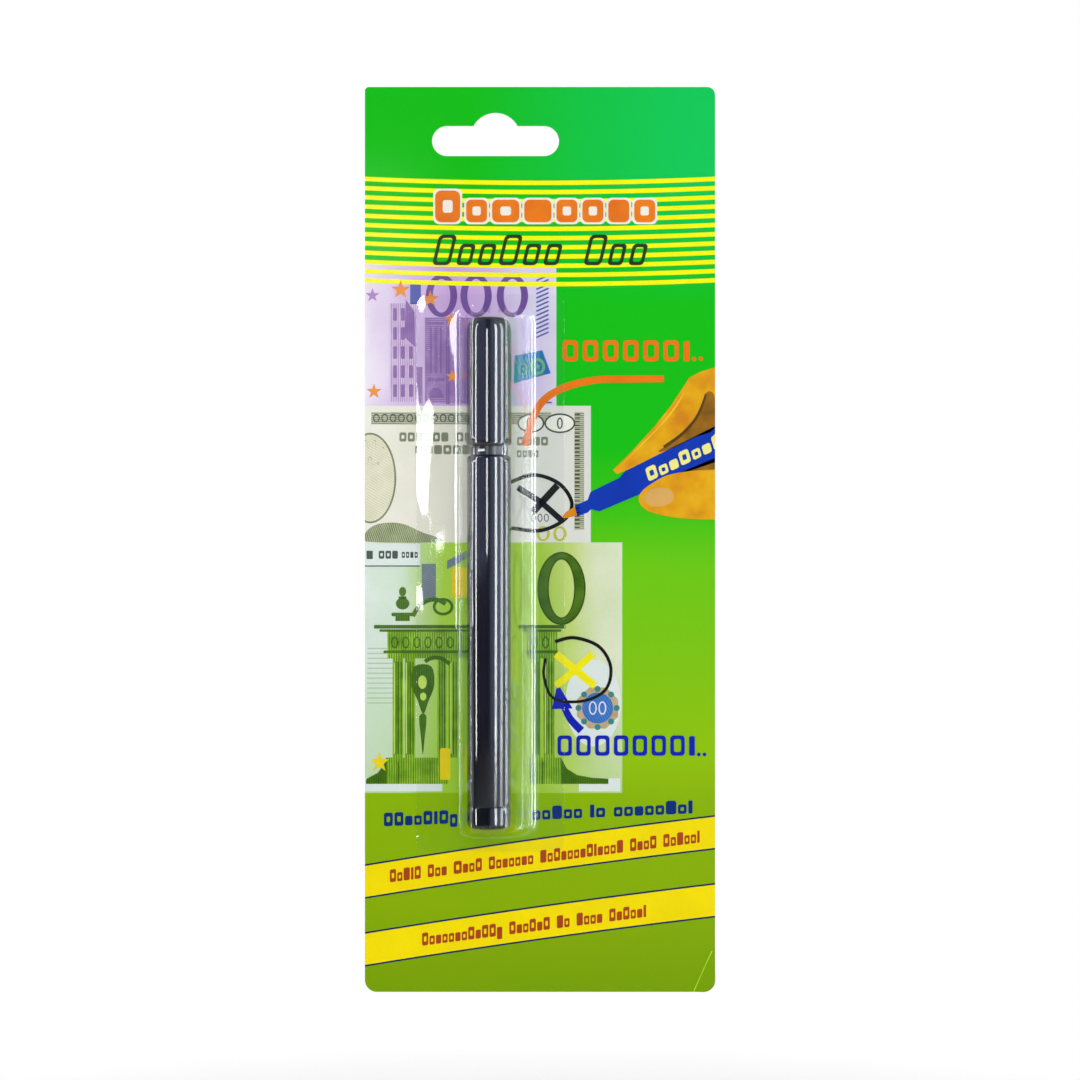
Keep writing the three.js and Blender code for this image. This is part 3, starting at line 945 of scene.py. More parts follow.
def make_green_note():
    ground = ink("green_paper", "b8dc58", "8cc81c", clouds=0.25, size=60.0, paint=green_ground)
    printed("green_note", 3, ground, [bar(LEFT, GREEN_LOW, GREEN_RIGHT, GREY_LOW)])
    pale = ink("green_note_pale", "dfeae6", "cddcd6", clouds=0.3)
    bands = [
        bar(LEFT, -114.0, -19.0, -108.6), bar(LEFT, -170.9, -13.4, -167.6), bar(21.0, -170.9, 31.4, -167.6)
    ]
    printed("green_bands", 4, pale, bands + [oval(24.6, -148.6, 7.0, 11.0)])
    dark = ink("note_print_dark", "3c5048", "28382f")
    marks = [bar(LEFT + 0.4, -112.4, -30.9, -110.3, 0.2), bar(LEFT, -114.3, -19.0, -114.0)]
    printed(
        "green_marks",
        5,
        dark,
        marks + greek(-29.4, -24.6, -112.3, 2.0, "XXX", 0.3) + greek(-23.6, -19.6, -112.1, 1.5, "XXXX", 0.3),
    )
    rules = [bar(LEFT + 0.6, z, -23.2, z + 0.22) for z in [-135.0 - 1.25 * i for i in range(12)]]
    printed("green_rules", 4, ink("rule_sage", "a9c49c", "93b184"), rules)
    numeral = engraved("green_numeral", "5c8c1c", "2c5006", 0.5, 35, 3.0, 0.8, 0.8)
    printed("green_zero", 4, numeral, [ring(16.6, -119.8, 6.1, 9.2, 2.9, 1.9)])
    edge = ink("numeral_edge", "28420f", "1a300a")
    printed(
        "green_zero_edge", 5, edge, [ring(16.6, -119.8, 6.1, 9.2, 0.3), ring(16.6, -119.8, 3.5, 7.6, 0.3)]
    )
    yellow = ink("note_yellow", "ecd818", "d2b810", clouds=0.5)
    printed(
        "green_stars",
        8,
        yellow,
        [
            star(-29.2, -163.6, 2.6),
            bar(-14.0, -168.0, -11.4, -160.0, 0.5),
            bar(-11.0, -122.0, -6.6, -114.5, 0.3),
        ],
    )
    slate = engraved("slate_patch", "7c8c94", "54626c", 0.5, 70, 3.0, 0.7)
    printed(
        "green_slate",
        4,
        slate,
        [
            bar(-18.6, -122.6, -15.0, -113.6),
            [(-12.2, -115.0), (-5.4, -111.2), (-5.4, -109.2), (-12.2, -112.8)],
        ],
    )
    make_gate()
    make_roundel()


GATE_HEAD, CAPITAL_FOOT, BASE_HEAD, BASE_FOOT = -129.0, -137.4, -162.4, -169.0


def column(x, wide):
    """Fluted shaft, drawn as its body and its dark flutes."""
    body = bar(x, BASE_HEAD, x + wide, CAPITAL_FOOT)
    flutes = [
        bar(x + wide * s, BASE_HEAD + 0.8, x + wide * s + 0.32, CAPITAL_FOOT - 0.8, 0.15)
        for s in (0.2, 0.45, 0.72)
    ]
    return body, flutes


def cornice(left, right, spread):
    """Stepped mouldings above and below a frieze."""
    steps = (
        (GATE_HEAD, 0.9, spread),
        (GATE_HEAD - 1.1, 0.6, 0.6 * spread),
        (CAPITAL_FOOT + 2.0, 0.7, 0.3 * spread),
    )
    return [bar(left - s, z - tall, right + s, z, 0.25) for z, tall, s in steps]


def make_gate():
    """A plain classical gate: two groups of fluted columns under a cornice."""
    stone = engraved("gate_stone", "9ac838", "447a06", 0.6, 0, 1.5, 0.85, 0.7)
    shade = engraved("gate_shade", "548418", "2a5206", 0.45, 0, 2.0, 0.8, 0.6)
    light = ink("gate_light", "c2e064", "9ccc34", clouds=0.5)
    shafts, flutes = [], []
    for x, wide in ((-25.9, 2.7), (-22.9, 2.7), (-14.6, 2.2), (-11.8, 2.4), (8.9, 2.4), (12.0, 2.8)):
        body, lines = column(x, wide)
        shafts.append(body)
        flutes += lines
    frieze = [bar(-27.2, CAPITAL_FOOT, -7.0, GATE_HEAD - 1.2), bar(8.0, CAPITAL_FOOT, 15.6, GATE_HEAD - 1.2)]
    plinth = [bar(-27.6, BASE_FOOT, -12.0, BASE_HEAD), bar(8.6, BASE_FOOT, 16.6, BASE_HEAD)]
    sweep = [
        (16.6, -162.6),
        (18.0, -165.2),
        (20.6, -166.8),
        (24.4, -167.5),
        (28.4, -167.7),
        (28.4, -169.0),
        (16.6, -169.0),
    ]
    left_sweep = [(-27.4, -163.0), (-29.6, -166.2), (-32.6, -167.8), (-32.6, -169.0), (-27.4, -169.0)]
    printed("gate_stone", 5, stone, shafts + frieze + plinth)
    printed("gate_feet", 6, shade, [sweep, left_sweep])
    brackets = [
        ring(x, -133.4, 0.95, 1.5, 0.4) for x in (-25.4, -22.6, -19.8, -17.0, -14.2, -11.4, 9.8, 12.6)
    ]
    joints = [bar(x, BASE_FOOT, x + 0.25, BASE_HEAD - 1.0) for x in (-24.6, -20.8, -16.6, 11.8)]
    caps = cornice(-27.2, -7.2, 3.4) + cornice(8.4, 15.0, 2.6)
    arch = [
        stroke(arc(-15.6, -131.0, 6.0, 8.4, 150, 60, 14), 1.1),
        stroke(arc(-15.0, -151.2, 7.4, 14.0, 112, 62, 12), 1.0),
    ]
    printed("gate_shade", 6, shade, flutes + brackets + joints + caps + arch)
    finial = [
        bar(-26.2, -126.8, -20.6, -125.9, 0.3),
        bar(-25.2, -128.0, -21.6, -126.8),
        oval(-23.4, -123.6, 1.7, 1.5, 24),
    ]
    finial += [oval(-23.4, -120.6, 0.9, 1.2, 20), bar(-24.4, -122.4, -22.4, -121.8, 0.2)]
    vase = [
        flowing(
            [
                (-20.4, -139.4),
                (-16.2, -139.4),
                (-15.4, -144.0),
                (-16.8, -148.0),
                (-18.2, -151.4),
                (-19.6, -148.0),
                (-21.2, -144.0),
            ],
            4,
        )
    ]
    drop = [flowing([(-19.2, -152.0), (-17.4, -152.0), (-17.9, -158.0), (-18.3, -161.6), (-18.7, -158.0)], 3)]
    printed("gate_ornaments", 7, shade, [ring(-13.2, -124.4, 2.6, 2.2, 0.7)] + finial + vase + drop)
    glints = [
        bar(x, BASE_HEAD + 1.0, x + 0.35, CAPITAL_FOOT - 1.0, 0.15) for x in (-25.6, -22.6, -11.4, 9.2, 12.4)
    ]
    glints += [oval(-18.4, -143.4, 1.1, 1.7, 24), oval(-18.2, -147.0, 0.8, 1.0, 20)]
    printed("gate_glints", 8, light, glints)


def make_roundel():
    cx, cz = 25.7, -149.9
    tan = ink("roundel_tan", "c8b48c", "a08c68", clouds=0.6, size=400.0)
    blue = engraved("roundel_blue", "4a86d0", "2656a4", 0.6, 30, 4.0, 0.7)
    eight = [
        (cx + 5.6 * math.cos(math.radians(a)), cz + 5.6 * math.sin(math.radians(a)))
        for a in range(22, 382, 45)
    ]
    printed("roundel_ring", 5, tan, [eight])
    printed("roundel_heart", 6, blue, [oval(cx, cz, 3.9, 3.9)])
    teal = ink("roundel_teal", "3c8c88", "2a6c70")
    gems = [
        oval(cx + 4.8 * math.cos(math.radians(a)), cz + 4.8 * math.sin(math.radians(a)), 0.8, 0.8, 8)
        for a in range(0, 360, 45)
    ]
    printed("roundel_gems", 6, teal, gems)
    pale = ink("roundel_pale", "dfe0f4", "c4c8ea")
    printed("roundel_mark", 7, pale, [ring(cx - 1.2, cz, 1.0, 1.7, 0.35), ring(cx + 1.2, cz, 1.0, 1.7, 0.35)])


make_violet_note()
make_grey_note()
make_green_note()


# ---------------------------------------------------------------- print: marks, arrows, words, and a painted highlight along the crease


def cross(cx, cz, half_x, half_z, width):
    """Two brush strokes that cross."""
    one = stroke([(cx - half_x, cz + half_z), (cx, cz), (cx + half_x, cz - half_z)], width)
    two = stroke([(cx + 0.9 * half_x, cz + half_z), (cx, cz), (cx - half_x, cz - half_z)], 0.9 * width)
    return [one], [two]


def make_marks():
    orange = ink("forged_orange", "f07c08", "dc6404", clouds=0.4)
    printed("forged_blocks", 4, orange, greek(16.9, 48.9, -62.6, 5.3, "XXXXXXi", 1.2, thin=1.05))
    printed("forged_dots", 4, orange, [oval(50.0, -62.0, 0.55, 0.55, 16), oval(51.7, -61.9, 0.55, 0.55, 16)])
    swash = flowing(
        [(42.4, -67.0), (34.0, -67.1), (24.6, -67.4), (16.0, -69.8), (10.6, -74.4), (7.4, -83.8)], 8, False
    )
    printed("orange_swash", 6, orange, [stroke(swash, 1.7, 1.15)])
    black = ink("marker_black", "14160f", "20241a", clouds=0.5)
    loop = flowing(
        [
            (3.4, -93.2),
            (9.6, -91.2),
            (16.0, -93.4),
            (19.2, -98.2),
            (17.4, -102.4),
            (11.4, -105.2),
            (4.0, -104.6),
        ],
        8,
        False,
    )
    printed("forged_loop", 5, black, [stroke(loop, 0.95)])
    printed(
        "forged_cross",
        6,
        black,
        [
            stroke([(15.6, -93.8), (11.4, -98.4), (9.4, -100.6)], 1.75),
            stroke([(5.6, -94.4), (11.4, -98.0), (16.6, -102.6)], 1.5),
        ],
    )
    circle = flowing(
        [
            (15.0, -133.2),
            (19.8, -132.2),
            (26.0, -134.4),
            (29.0, -139.6),
            (27.6, -145.4),
            (21.6, -148.2),
            (14.6, -147.4),
            (12.2, -142.0),
            (12.6, -137.4),
        ],
        8,
        False,
    )
    printed("genuine_loop", 8, black, [stroke(circle, 0.9, 0.7)])
    yellow = ink("cross_yellow", "f6ee0a", "e2d404", clouds=0.3)
    one, two = cross(20.1, -140.3, 4.9, 4.0, 1.9)
    printed("genuine_cross", 8, yellow, one)
    printed("genuine_cross_over", 9, yellow, two)
    blue = ink("genuine_blue", "0c22b4", "081488", clouds=0.3)
    shaft = flowing([(21.6, -155.6), (18.8, -152.6), (17.0, -149.0)], 5, False)
    head = [(15.6, -143.6), (19.4, -150.0), (14.2, -150.2)]
    printed("blue_arrow", 7, blue, [head])
    printed("blue_arrow_shaft", 8, blue, [stroke(shaft, 2.0, 0.8)])
    printed("genuine_blocks", 8, blue, greek(15.6, 50.2, -161.9, 5.1, "XXXXXXXi", 1.1, thin=0.9))
    printed("genuine_dots", 8, blue, [oval(51.2, -161.6, 0.45, 0.45, 14), oval(52.6, -161.6, 0.45, 0.45, 14)])


SLOGAN_CLIMB = math.tan(math.radians(2.4))
SLOGAN_LEFT, SLOGAN_FOOT = -28.1, -179.7  # where its first word starts


def make_slogan():
    navy = ink("slogan_blue", "06307c", "04205c", clouds=0.3)
    words = []
    parts = (
        (SLOGAN_LEFT, -9.6, "XXxxXiXq"),
        (9.2, 21.8, "xxXxx"),
        (23.8, 27.6, "ix"),
        (29.8, 49.6, "xxxxxXxi"),
    )
    for left, right, pattern in parts:
        base = SLOGAN_FOOT + SLOGAN_CLIMB * (left - SLOGAN_LEFT)
        words += greek(left, right, base, 3.4, pattern, 0.45, climb=SLOGAN_CLIMB)
    printed("slogan_blocks", 4, navy, words)


BAND_CLIMB = (-181.2 + 193.6) / 88.2  # rise over run, the same for both bands


def band(z_left, tall):
    rise = BAND_CLIMB * (RIGHT - LEFT)
    bow = 0.5
    top = [
        (LEFT + (RIGHT - LEFT) * s, z_left + rise * s + 4 * bow * s * (1 - s))
        for s in [i / 12 for i in range(13)]
    ]
    return top + [(x, z - tall) for x, z in top[::-1]]


def make_bands():
    yellow = ink("band_yellow", "fae400", "e6cc00", clouds=0.45, size=60.0)
    navy = ink("band_navy", "14285c", "0c1c44")
    red = ink("band_red", "b0481c", "8c3010", clouds=0.4)
    lines = (
        ("upper", -189.7, -26.6, 51.4, "XxXiX Xxx MxxX Xxxxxxx XxXxxxxXixxxX XxxX XxXxxi"),
        ("lower", -206.8, -18.5, 37.9, "XxxxxxxXxXXq XxxXxX Xx Xxxx XxXxxi"),
    )
    for name, z, left, right, pattern in lines:
        printed(f"{name}_band_edges", 1, navy, [band(z + 0.45, 8.7)])
        printed(f"{name}_band", 2, yellow, [band(z, 7.8)])
        base = z + BAND_CLIMB * (left - LEFT) - 5.0
        words = greek(left, right, base, 3.2, pattern, 0.3, climb=BAND_CLIMB - 0.012)
        printed(f"{name}_band_words", 3, red, words)


def make_crease_highlight():
    """Painted highlight: a lighter green stroke along the crease of the bent corner at the card's foot."""
    # painted highlight along the crease, in a lighter green than the ground around it
    crease_highlight_ink = ink("painted_crease_highlight", "b8e434", "90c418", clouds=0.8, size=300.0)
    printed(
        "corner_crease_highlight",
        4,
        crease_highlight_ink,
        [stroke([(49.9, -221.3), (51.4, -217.9), (53.1, -214.1), (54.5, -211.1)], 0.3)],
    )


make_marks()
make_slogan()
make_bands()
make_crease_highlight()


# ---------------------------------------------------------------- print: the hand with a marker

MARKER_TURN = 25.5


def skin_paint(tree, first, last):
    """Ochre skin that browns along soft clouds."""
    soft = put(tree, "TexNoise", {"Vector": place(tree), "Scale": 160.0, "Detail": 3.0})
    return ramp(
        tree,
        soft.outputs["Fac"],
        [(0.3, tint("d88a10")), (0.5, tint("e8a800")), (0.7, tint("f0bc14"))],
    )


def make_hand():
    skin = ink("hand_skin", "e8ac04", "cf7c14", clouds=0.3, size=90.0, paint=skin_paint)
    brown = ink("hand_shade", "a06c14", "6c4a14", clouds=0.8, size=260.0)
    glow = ink("hand_light", "f6cc34", "ecb010", clouds=0.4)
    dark = ink("hand_crease", "5c4418", "3c3014", clouds=0.5)
    edge = RIGHT
    finger = [(edge, -64.1), (51.7, -65.2), (48.8, -66.7), (44.2, -73.7), (40.1, -78.9), (34.3, -85.3)]
    finger += [(29.6, -90.0), (30.5, -91.0), (34.0, -89.6), (44.0, -84.8), (edge, -79.0)]
    printed("hand_finger", 4, skin, [finger])
    fold = [(edge - 0.1, -71.5), (53.2, -70.4), (51.6, -74.5), (49.5, -78.4), (46.0, -81.8), (41.0, -85.3)]
    fold += [(44.5, -84.5), (50.0, -81.8), (edge - 0.1, -79.3)]
    printed("hand_fold", 5, brown, [flowing(fold, 5)])
    crease = [(53.0, -70.8), (51.9, -74.0), (50.0, -77.6), (46.6, -81.2), (42.4, -84.2)]
    printed("hand_crease", 6, dark, [stroke(flowing(crease, 5, False), 0.5, 1.6)])
    ridge = [(47.6, -70.4), (44.2, -76.0), (38.0, -82.6), (32.0, -88.4), (36.6, -83.6), (42.4, -77.6)]
    printed("finger_light", 6, glow, [flowing(ridge, 5)])
    thumb = [(edge, -89.9), (49.4, -90.2), (43.6, -91.2), (40.1, -92.9), (37.2, -95.0), (36.0, -97.2)]
    thumb += [(37.2, -99.5), (40.4, -101.0), (46.5, -102.1), (edge, -102.5)]
    printed("hand_thumb", 6, skin, [flowing(thumb, 6, False)])
    palm = [(44.0, -91.6), (edge - 0.1, -87.0), (edge - 0.1, -91.2), (48.0, -91.6)]
    printed("hand_palm", 5, brown, [palm])
    nail = ink("thumb_nail", "e0b060", "d09a54", clouds=0.5)
    printed("thumb_nail", 7, nail, [spun(oval(41.2, -96.8, 3.8, 2.4, 32), 41.2, -96.8, 6)])
    make_printed_marker()


def make_printed_marker():
    blue = ink("marker_blue", "0038b8", "002894", clouds=0.4, size=100.0)
    body = [(RIGHT, -78.9), (32.6, -90.3), (31.1, -92.0), (23.9, -95.5), (23.2, -97.5), (19.9, -99.0)]
    body += [(20.6, -101.6), (23.2, -100.7), (24.1, -99.8), (26.1, -100.4), (36.3, -96.1), (42.0, -92.6)]
    printed("printed_marker", 5, blue, [body + [(RIGHT, -88.0)]])
    tip = ink("marker_tip", "e09014", "a85c08", clouds=0.6)
    printed(
        "printed_tip",
        6,
        tip,
        [[(20.0, -99.2), (17.6, -100.6), (16.7, -102.0), (17.8, -102.1), (20.5, -101.5)]],
    )
    cream = ink("marker_words", "f4f08c", "e0dc70")
    climb = math.tan(math.radians(MARKER_TURN))
    printed("marker_blocks", 7, cream, greek(38.6, 57.6, -92.9, 3.3, "XxxXxxX", 0.55, lean=-0.3, climb=climb))


make_hand()


# ---------------------------------------------------------------- pen


def turned(name, profile, finish, body, node, smooth_below=40):
    """Turns a closed profile of (radius, z) about the pen's axis."""
    verts, faces = [], []
    count = len(profile)
    for radius, z in profile:
        for i in range(TURN_STEPS):
            turn = 2 * math.pi * i / TURN_STEPS
            verts.append(
                ((PEN_X + radius * math.cos(turn)) * MM, (PEN_Y + radius * math.sin(turn)) * MM, z * MM)
            )
    for j in range(count):
        k = (j + 1) % count
        if profile[j][0] == 0 and profile[k][0] == 0:
            continue
        for i in range(TURN_STEPS):
            n = (i + 1) % TURN_STEPS
            a, b = j * TURN_STEPS + i, j * TURN_STEPS + n
            c, d = k * TURN_STEPS + n, k * TURN_STEPS + i
            if profile[j][0] == 0:
                faces.append((a, c, d))
            elif profile[k][0] == 0:
                faces.append((a, b, d))
            else:
                faces.append((a, b, c, d))
    piece = new_piece(name, verts, faces, [finish], body, smooth_below)
    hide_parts(node)
    return piece


def half_width(low, high):
    return (high.x - low.x) / 2


BARREL_R = half_width(barrel_low, barrel_high)
CAP_R = half_width(cap_low, cap_high)
WALL = 1.1
FIT = 0.1
BORE = BARREL_R - WALL
CAP_BORE = CAP_R - WALL
EDGE = 0.12  # smallest rounding of a moulded edge


def make_barrel():
    low, high = barrel_low.z, barrel_high.z
    shoulder = 0.95
    profile = [(BORE, low), (BARREL_R - EDGE, low), (BARREL_R - 0.03, low + 0.05), (BARREL_R, low + EDGE)]
    profile += arc(BARREL_R - shoulder, high - shoulder, shoulder, shoulder, 0, 90, 10)
    profile += [(BORE + EDGE, high), (BORE, high - EDGE)]
    turned("barrel_shell", profile, black_gloss, "pen", "pen_barrel")


def make_end_plug():
    """Rounded foot with a moulding gate's dimple, and the hollow spigot inside the barrel."""
    foot, seam = plug_low.z, SEAM_Z - 0.15
    round_off = 1.4
    spigot, holder = BORE - FIT, BORE - FIT - 0.7
    profile = [(0, foot + 0.35), (0.5, foot + 0.32), (1.1, foot + 0.05), (1.4, foot)]
    profile += arc(BARREL_R - round_off, foot + round_off, round_off, round_off, -90, 0, 12)
    profile += [(BARREL_R, seam - EDGE), (BARREL_R - EDGE, seam), (spigot, seam), (spigot, plug_high.z - 0.5)]
    profile += [(spigot - 0.35, plug_high.z), (holder, plug_high.z), (holder, seam + 1.2), (0, seam + 1.2)]
    turned("end_plug", profile, black_gloss, "pen", "barrel_end_plug")


def make_nose():
    """Neck ring, grip seat with its snap bead, cone and nib tube, on a skirt inside the barrel."""
    skirt, holder = BORE - FIT, BORE - FIT - 0.7
    neck = BARREL_R - 0.8
    seat = CAP_BORE - FIT
    tip = 2.4
    bore = half_width(nib_low, nib_high) + FIT
    seat_top = NECK_HIGH - FIT + 8.5
    neck_top = NECK_HIGH - FIT
    profile = [
        (bore, NECK_LOW - 1.6),
        (holder, NECK_LOW - 1.6),
        (holder, nose_low.z),
        (skirt, nose_low.z),
        (skirt, NECK_LOW),
    ]
    profile += [
        (neck - EDGE, NECK_LOW), (neck, NECK_LOW + EDGE), (neck, neck_top - EDGE), (neck - EDGE, neck_top)
    ]
    profile += [
        (seat - 0.12, neck_top),
        (seat - 0.12, neck_top + 2.2),
        (seat - 0.04, neck_top + 2.5),
        (seat - 0.04, neck_top + 3.1),
    ]
    profile += [(seat - 0.12, neck_top + 3.4), (seat - 0.12, seat_top - 0.4), (seat - 0.4, seat_top)]
    profile += [
        (tip + 0.5, seat_top + 6.1), (tip, seat_top + 6.9), (tip, nose_high.z - 0.3), (tip - 0.3, nose_high.z)
    ]
    profile += [(bore, nose_high.z)]
    turned("nose_shell", profile, black_satin, "pen", "nose_section")


def make_cap():
    low, high = cap_low.z, cap_high.z
    inset_r, taper, mouth = 2.1, 3.6, 0.95
    top = CAP_R - inset_r
    profile = [
        (0, high - 1.3),
        (top, high - 1.3),
        (CAP_BORE, high - taper - 0.65),
        (CAP_BORE, low + 0.2),
        (CAP_BORE + 0.1, low),
    ]
    profile += arc(CAP_R - mouth, low + mouth, mouth, mouth, -90, 0, 10)
    profile += arc(top, high - taper, inset_r, taper, 0, 90, 18)
    profile += [(0, high)]
    turned("cap_shell", profile, black_gloss, "cap", "pen_cap")


def make_liner():
    low, high = liner_low.z, liner_high.z
    inner, outer, rim = 2.5, 3.3, CAP_BORE - FIT
    profile = [
        (0, high - 0.8),
        (inner - 0.3, high - 0.8),
        (inner, high - 1.1),
        (inner, low + 0.3),
        (inner + 0.2, low),
    ]
    profile += [
        (outer - 0.2, low), (outer, low + 0.2), (outer, high - 0.8), (rim, high - 0.8), (rim, high), (0, high)
    ]
    turned("cap_liner", profile, liner_plastic, "cap", "cap_seal_liner")


def make_nib():
    """Bullet nib whose point is worn a little flat."""
    low, high = nib_low.z, nib_high.z
    r = half_width(nib_low, nib_high)
    profile = [(0, low), (r - 0.15, low), (r, low + 0.2)]
    profile += arc(0.35, high - 2.5, r - 0.35, 2.5, 0, 90, 12)
    profile += [(0, high)]
    turned("nib_tip", profile, nib_fibre, "pen", "nib")


make_barrel()
make_end_plug()
make_nose()
make_cap()
make_liner()
make_nib()


def finish_node(node, material):
    """Gives a CAD node that stays its material."""
    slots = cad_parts[node].material_slots
    for slot in slots:
        slot.material = material


finish_node("ink_reservoir", reservoir_fibre)
finish_node("reservoir_film", wrap_film)


# ---------------------------------------------------------------- blister film

CREST = -film_low.y  # bubble's height over the board
CREST_HALF = 3.5
CREST_FOLD = 1.5  # reach of the fold at the crest strip's edges
LEFT_WALL, RIGHT_WALL = 7.2, 9.9  # pen's axis to the bubble's two feet, inside their fillets
END_GAP = 1.0  # pen's end to the outside of the bubble's end
END_RUN = 0.17 * CREST
END_ROUND = 2.6
CORNER = 3.0
WAIST_DIP, SEAM_DIP = 1.3, 0.45
WAIST_HALF, SEAM_HALF = 2.9, 1.1  # half lengths of the two dips
FLANGE_WAVE = 0.16  # tallest wave of the sealed flange
SHOULDER_RUN = 7.5  # length over which the bubble's shoulders round off at each end
LEFT_ROUND, RIGHT_ROUND = 2.6, 4.2  # plan radii of the bubble's corners
HINGE_GAP = 0.36  # keeps the opened film's foot edge off the print
RIM_ROW = 0.03  # narrow row along the film's rim, so that shading turns only there
EDGE_ROWS = (0.9, 1.9, CORNER)  # further rows in from the film's rim
FILLET_STEPS, WALL_STEPS = 5, 11  # spans along the bubble's foot fillet and up its wall


def film_rows():
    """Stations along the film as (z, height share of the crest), from foot to head."""
    foot, head = film_low.z, film_high.z
    low, high = plug_low.z - END_GAP, cap_high.z + END_GAP
    steep = 7
    climb = [(END_RUN * (1 - i / steep), (1 - END_ROUND / CREST) * i / steep) for i in range(steep + 1)]
    turn = [
        (
            -END_ROUND * (1 - math.cos(math.radians(a))),
            1 - END_ROUND / CREST * (1 - math.sin(math.radians(a))),
        )
        for a in range(15, 91, 15)
    ]
    end = climb + turn
    rows = [(foot + d, 0) for d in (HINGE_GAP, HINGE_GAP + RIM_ROW, *EDGE_ROWS)]
    rows.append((low - END_RUN - 0.5, 0))
    rows += [(low - out, share) for out, share in end]
    start, stop = low + END_ROUND + 1.2, high - END_ROUND - 1.2
    fine = [SEAM_Z + d for d in (-1.4, -0.9, -0.4, 0, 0.4, 0.9, 1.4)]
    middle = (NECK_LOW + NECK_HIGH) / 2
    fine += [middle + d for d in (-3.4, -2.9, -2.4, -1.8, -1.2, -0.6, 0, 0.6, 1.2, 1.8, 2.4, 2.9, 3.4)]
    count = 56
    plain = [start + (stop - start) * i / count for i in range(count + 1)]
    plain = [z for z in plain if min(abs(z - f) for f in fine) > 0.7]
    rows += [(z, 1.0) for z in sorted(plain + fine)]
    rows += [(high + out, share) for out, share in end[::-1]]
    rows.append((high + END_RUN + 0.5, 0))
    return rows + [(head - d, 0) for d in (*EDGE_ROWS[::-1], RIM_ROW, 0)]


def dip(z):
    """How far the film sinks between cap and barrel and over the end plug's seam."""
    middle = (NECK_LOW + NECK_HIGH) / 2
    waist = max(0.0, 1 - ((z - middle) / WAIST_HALF) ** 2)
    seam = max(0.0, 1 - ((z - SEAM_Z) / SEAM_HALF) ** 2)
    return WAIST_DIP * waist + SEAM_DIP * seam


def bezier(p0, p1, p2, p3, t):
    s = 1 - t
    return tuple(
        s**3 * a + 3 * s * s * t * b + 3 * s * t * t * c + t**3 * d for a, b, c, d in zip(p0, p1, p2, p3)
    )


def bubble_side(foot, sign, draft, fillet, height, pull, sunk):
    """Wall from the flange to the bubble's crest, as (offset from the pen's axis, height) pairs."""
    crest = CREST_HALF * (1 - 0.12 * pull) * (1 - 0.1 * sunk)
    shoulder = foot - draft + 0.3 * sunk
    high = crest + CREST_FOLD * (1 - 0.6 * pull)
    rise = min(1.2 * fillet, 0.3 * height)
    start = (foot - 0.3 * fillet, rise)
    wall = (start, (shoulder - 0.8 * pull, rise + (height - rise) * 0.5), (high, height), (crest, height))
    round_foot = [(foot + fillet, 0.0), (foot + 0.1 * fillet, 0.0), start]
    points = []
    for i in range(FILLET_STEPS):
        t = i / FILLET_STEPS
        weights = ((1 - t) ** 2, 2 * t * (1 - t), t * t)
        points.append(tuple(sum(w * p[k] for w, p in zip(weights, round_foot)) for k in (0, 1)))
    points += [bezier(*wall, i / WALL_STEPS) for i in range(WALL_STEPS + 1)]
    return [(sign * x, h) for x, h in points]


def drawn_in(inside, radius):
    """How far a wall's foot draws in where the bubble's plan rounds its corner."""
    return radius * (1 - math.sqrt(1 - (1 - min(inside / radius, 1.0)) ** 2))


def film_section(z, share):
    """One row of the film as (x, height over the board) pairs, from its left edge to its right."""
    low, high = plug_low.z - END_GAP - END_RUN, cap_high.z + END_GAP + END_RUN
    inside = max(0.0, min(z - low, high - z))
    pull = 1 - math.sqrt(1 - (1 - min(inside / SHOULDER_RUN, 1.0)) ** 2)
    sunk = dip(z)
    height = CREST * share - sunk * share
    left = bubble_side(LEFT_WALL - drawn_in(inside, LEFT_ROUND), -1, 0.6, 1.1, height, pull, sunk)
    right = bubble_side(RIGHT_WALL - drawn_in(inside, RIGHT_ROUND), 1, 2.4, 2.4, height, pull, sunk)[::-1]
    crown = 0.12 * share
    top = [(CREST_HALF * s, height + crown * (1 - s * s)) for s in (-0.6, -0.2, 0.2, 0.6)]
    near_left, near_right = left[0][0] - 0.5, right[-1][0] + 0.5
    edge_left, edge_right = film_low.x - PEN_X, film_high.x - PEN_X
    flange_left = [(edge_left + d, 0) for d in (0, RIM_ROW, *EDGE_ROWS)]
    flange_left += [(edge_left + CORNER + (near_left - edge_left - CORNER) * s, 0) for s in (0.4, 0.75)]
    flange_right = [(edge_right - (edge_right - near_right - CORNER) * s - CORNER, 0) for s in (0.75, 0.4)]
    flange_right += [(edge_right - d, 0) for d in (*EDGE_ROWS[::-1], RIM_ROW, 0)]
    row = flange_left + [(near_left, 0.0)] + left + top + right + [(near_right, 0.0)] + flange_right
    return [(PEN_X + x, h) for x, h in row]


def rounded_corner(x, z):
    """Draws a point of the flange's square corner in to its round."""
    cx = min(max(x, film_low.x + CORNER), film_high.x - CORNER)
    cz = min(max(z, film_low.z + CORNER), film_high.z - CORNER)
    dx, dz = x - cx, z - cz
    if not dx or not dz:
        return x, z
    reach = max(abs(dx), abs(dz)) / math.hypot(dx, dz)
    return cx + dx * reach, cz + dz * reach


def ripple(x, z, share):
    """Small waves that forming and sealing leave in the film."""
    slow = noise.noise(Vector((x * 0.22, z * 0.045, 3.1)))
    fast = noise.noise(Vector((x * 0.5, z * 0.16, 7.7)))
    if share:
        return 0.08 * slow + 0.012 * fast
    crumple = noise.noise(Vector((x * 0.8, z * 0.3, 1.3)))
    return FLANGE_WAVE * abs(0.7 * slow + 0.25 * fast + 0.12 * crumple)


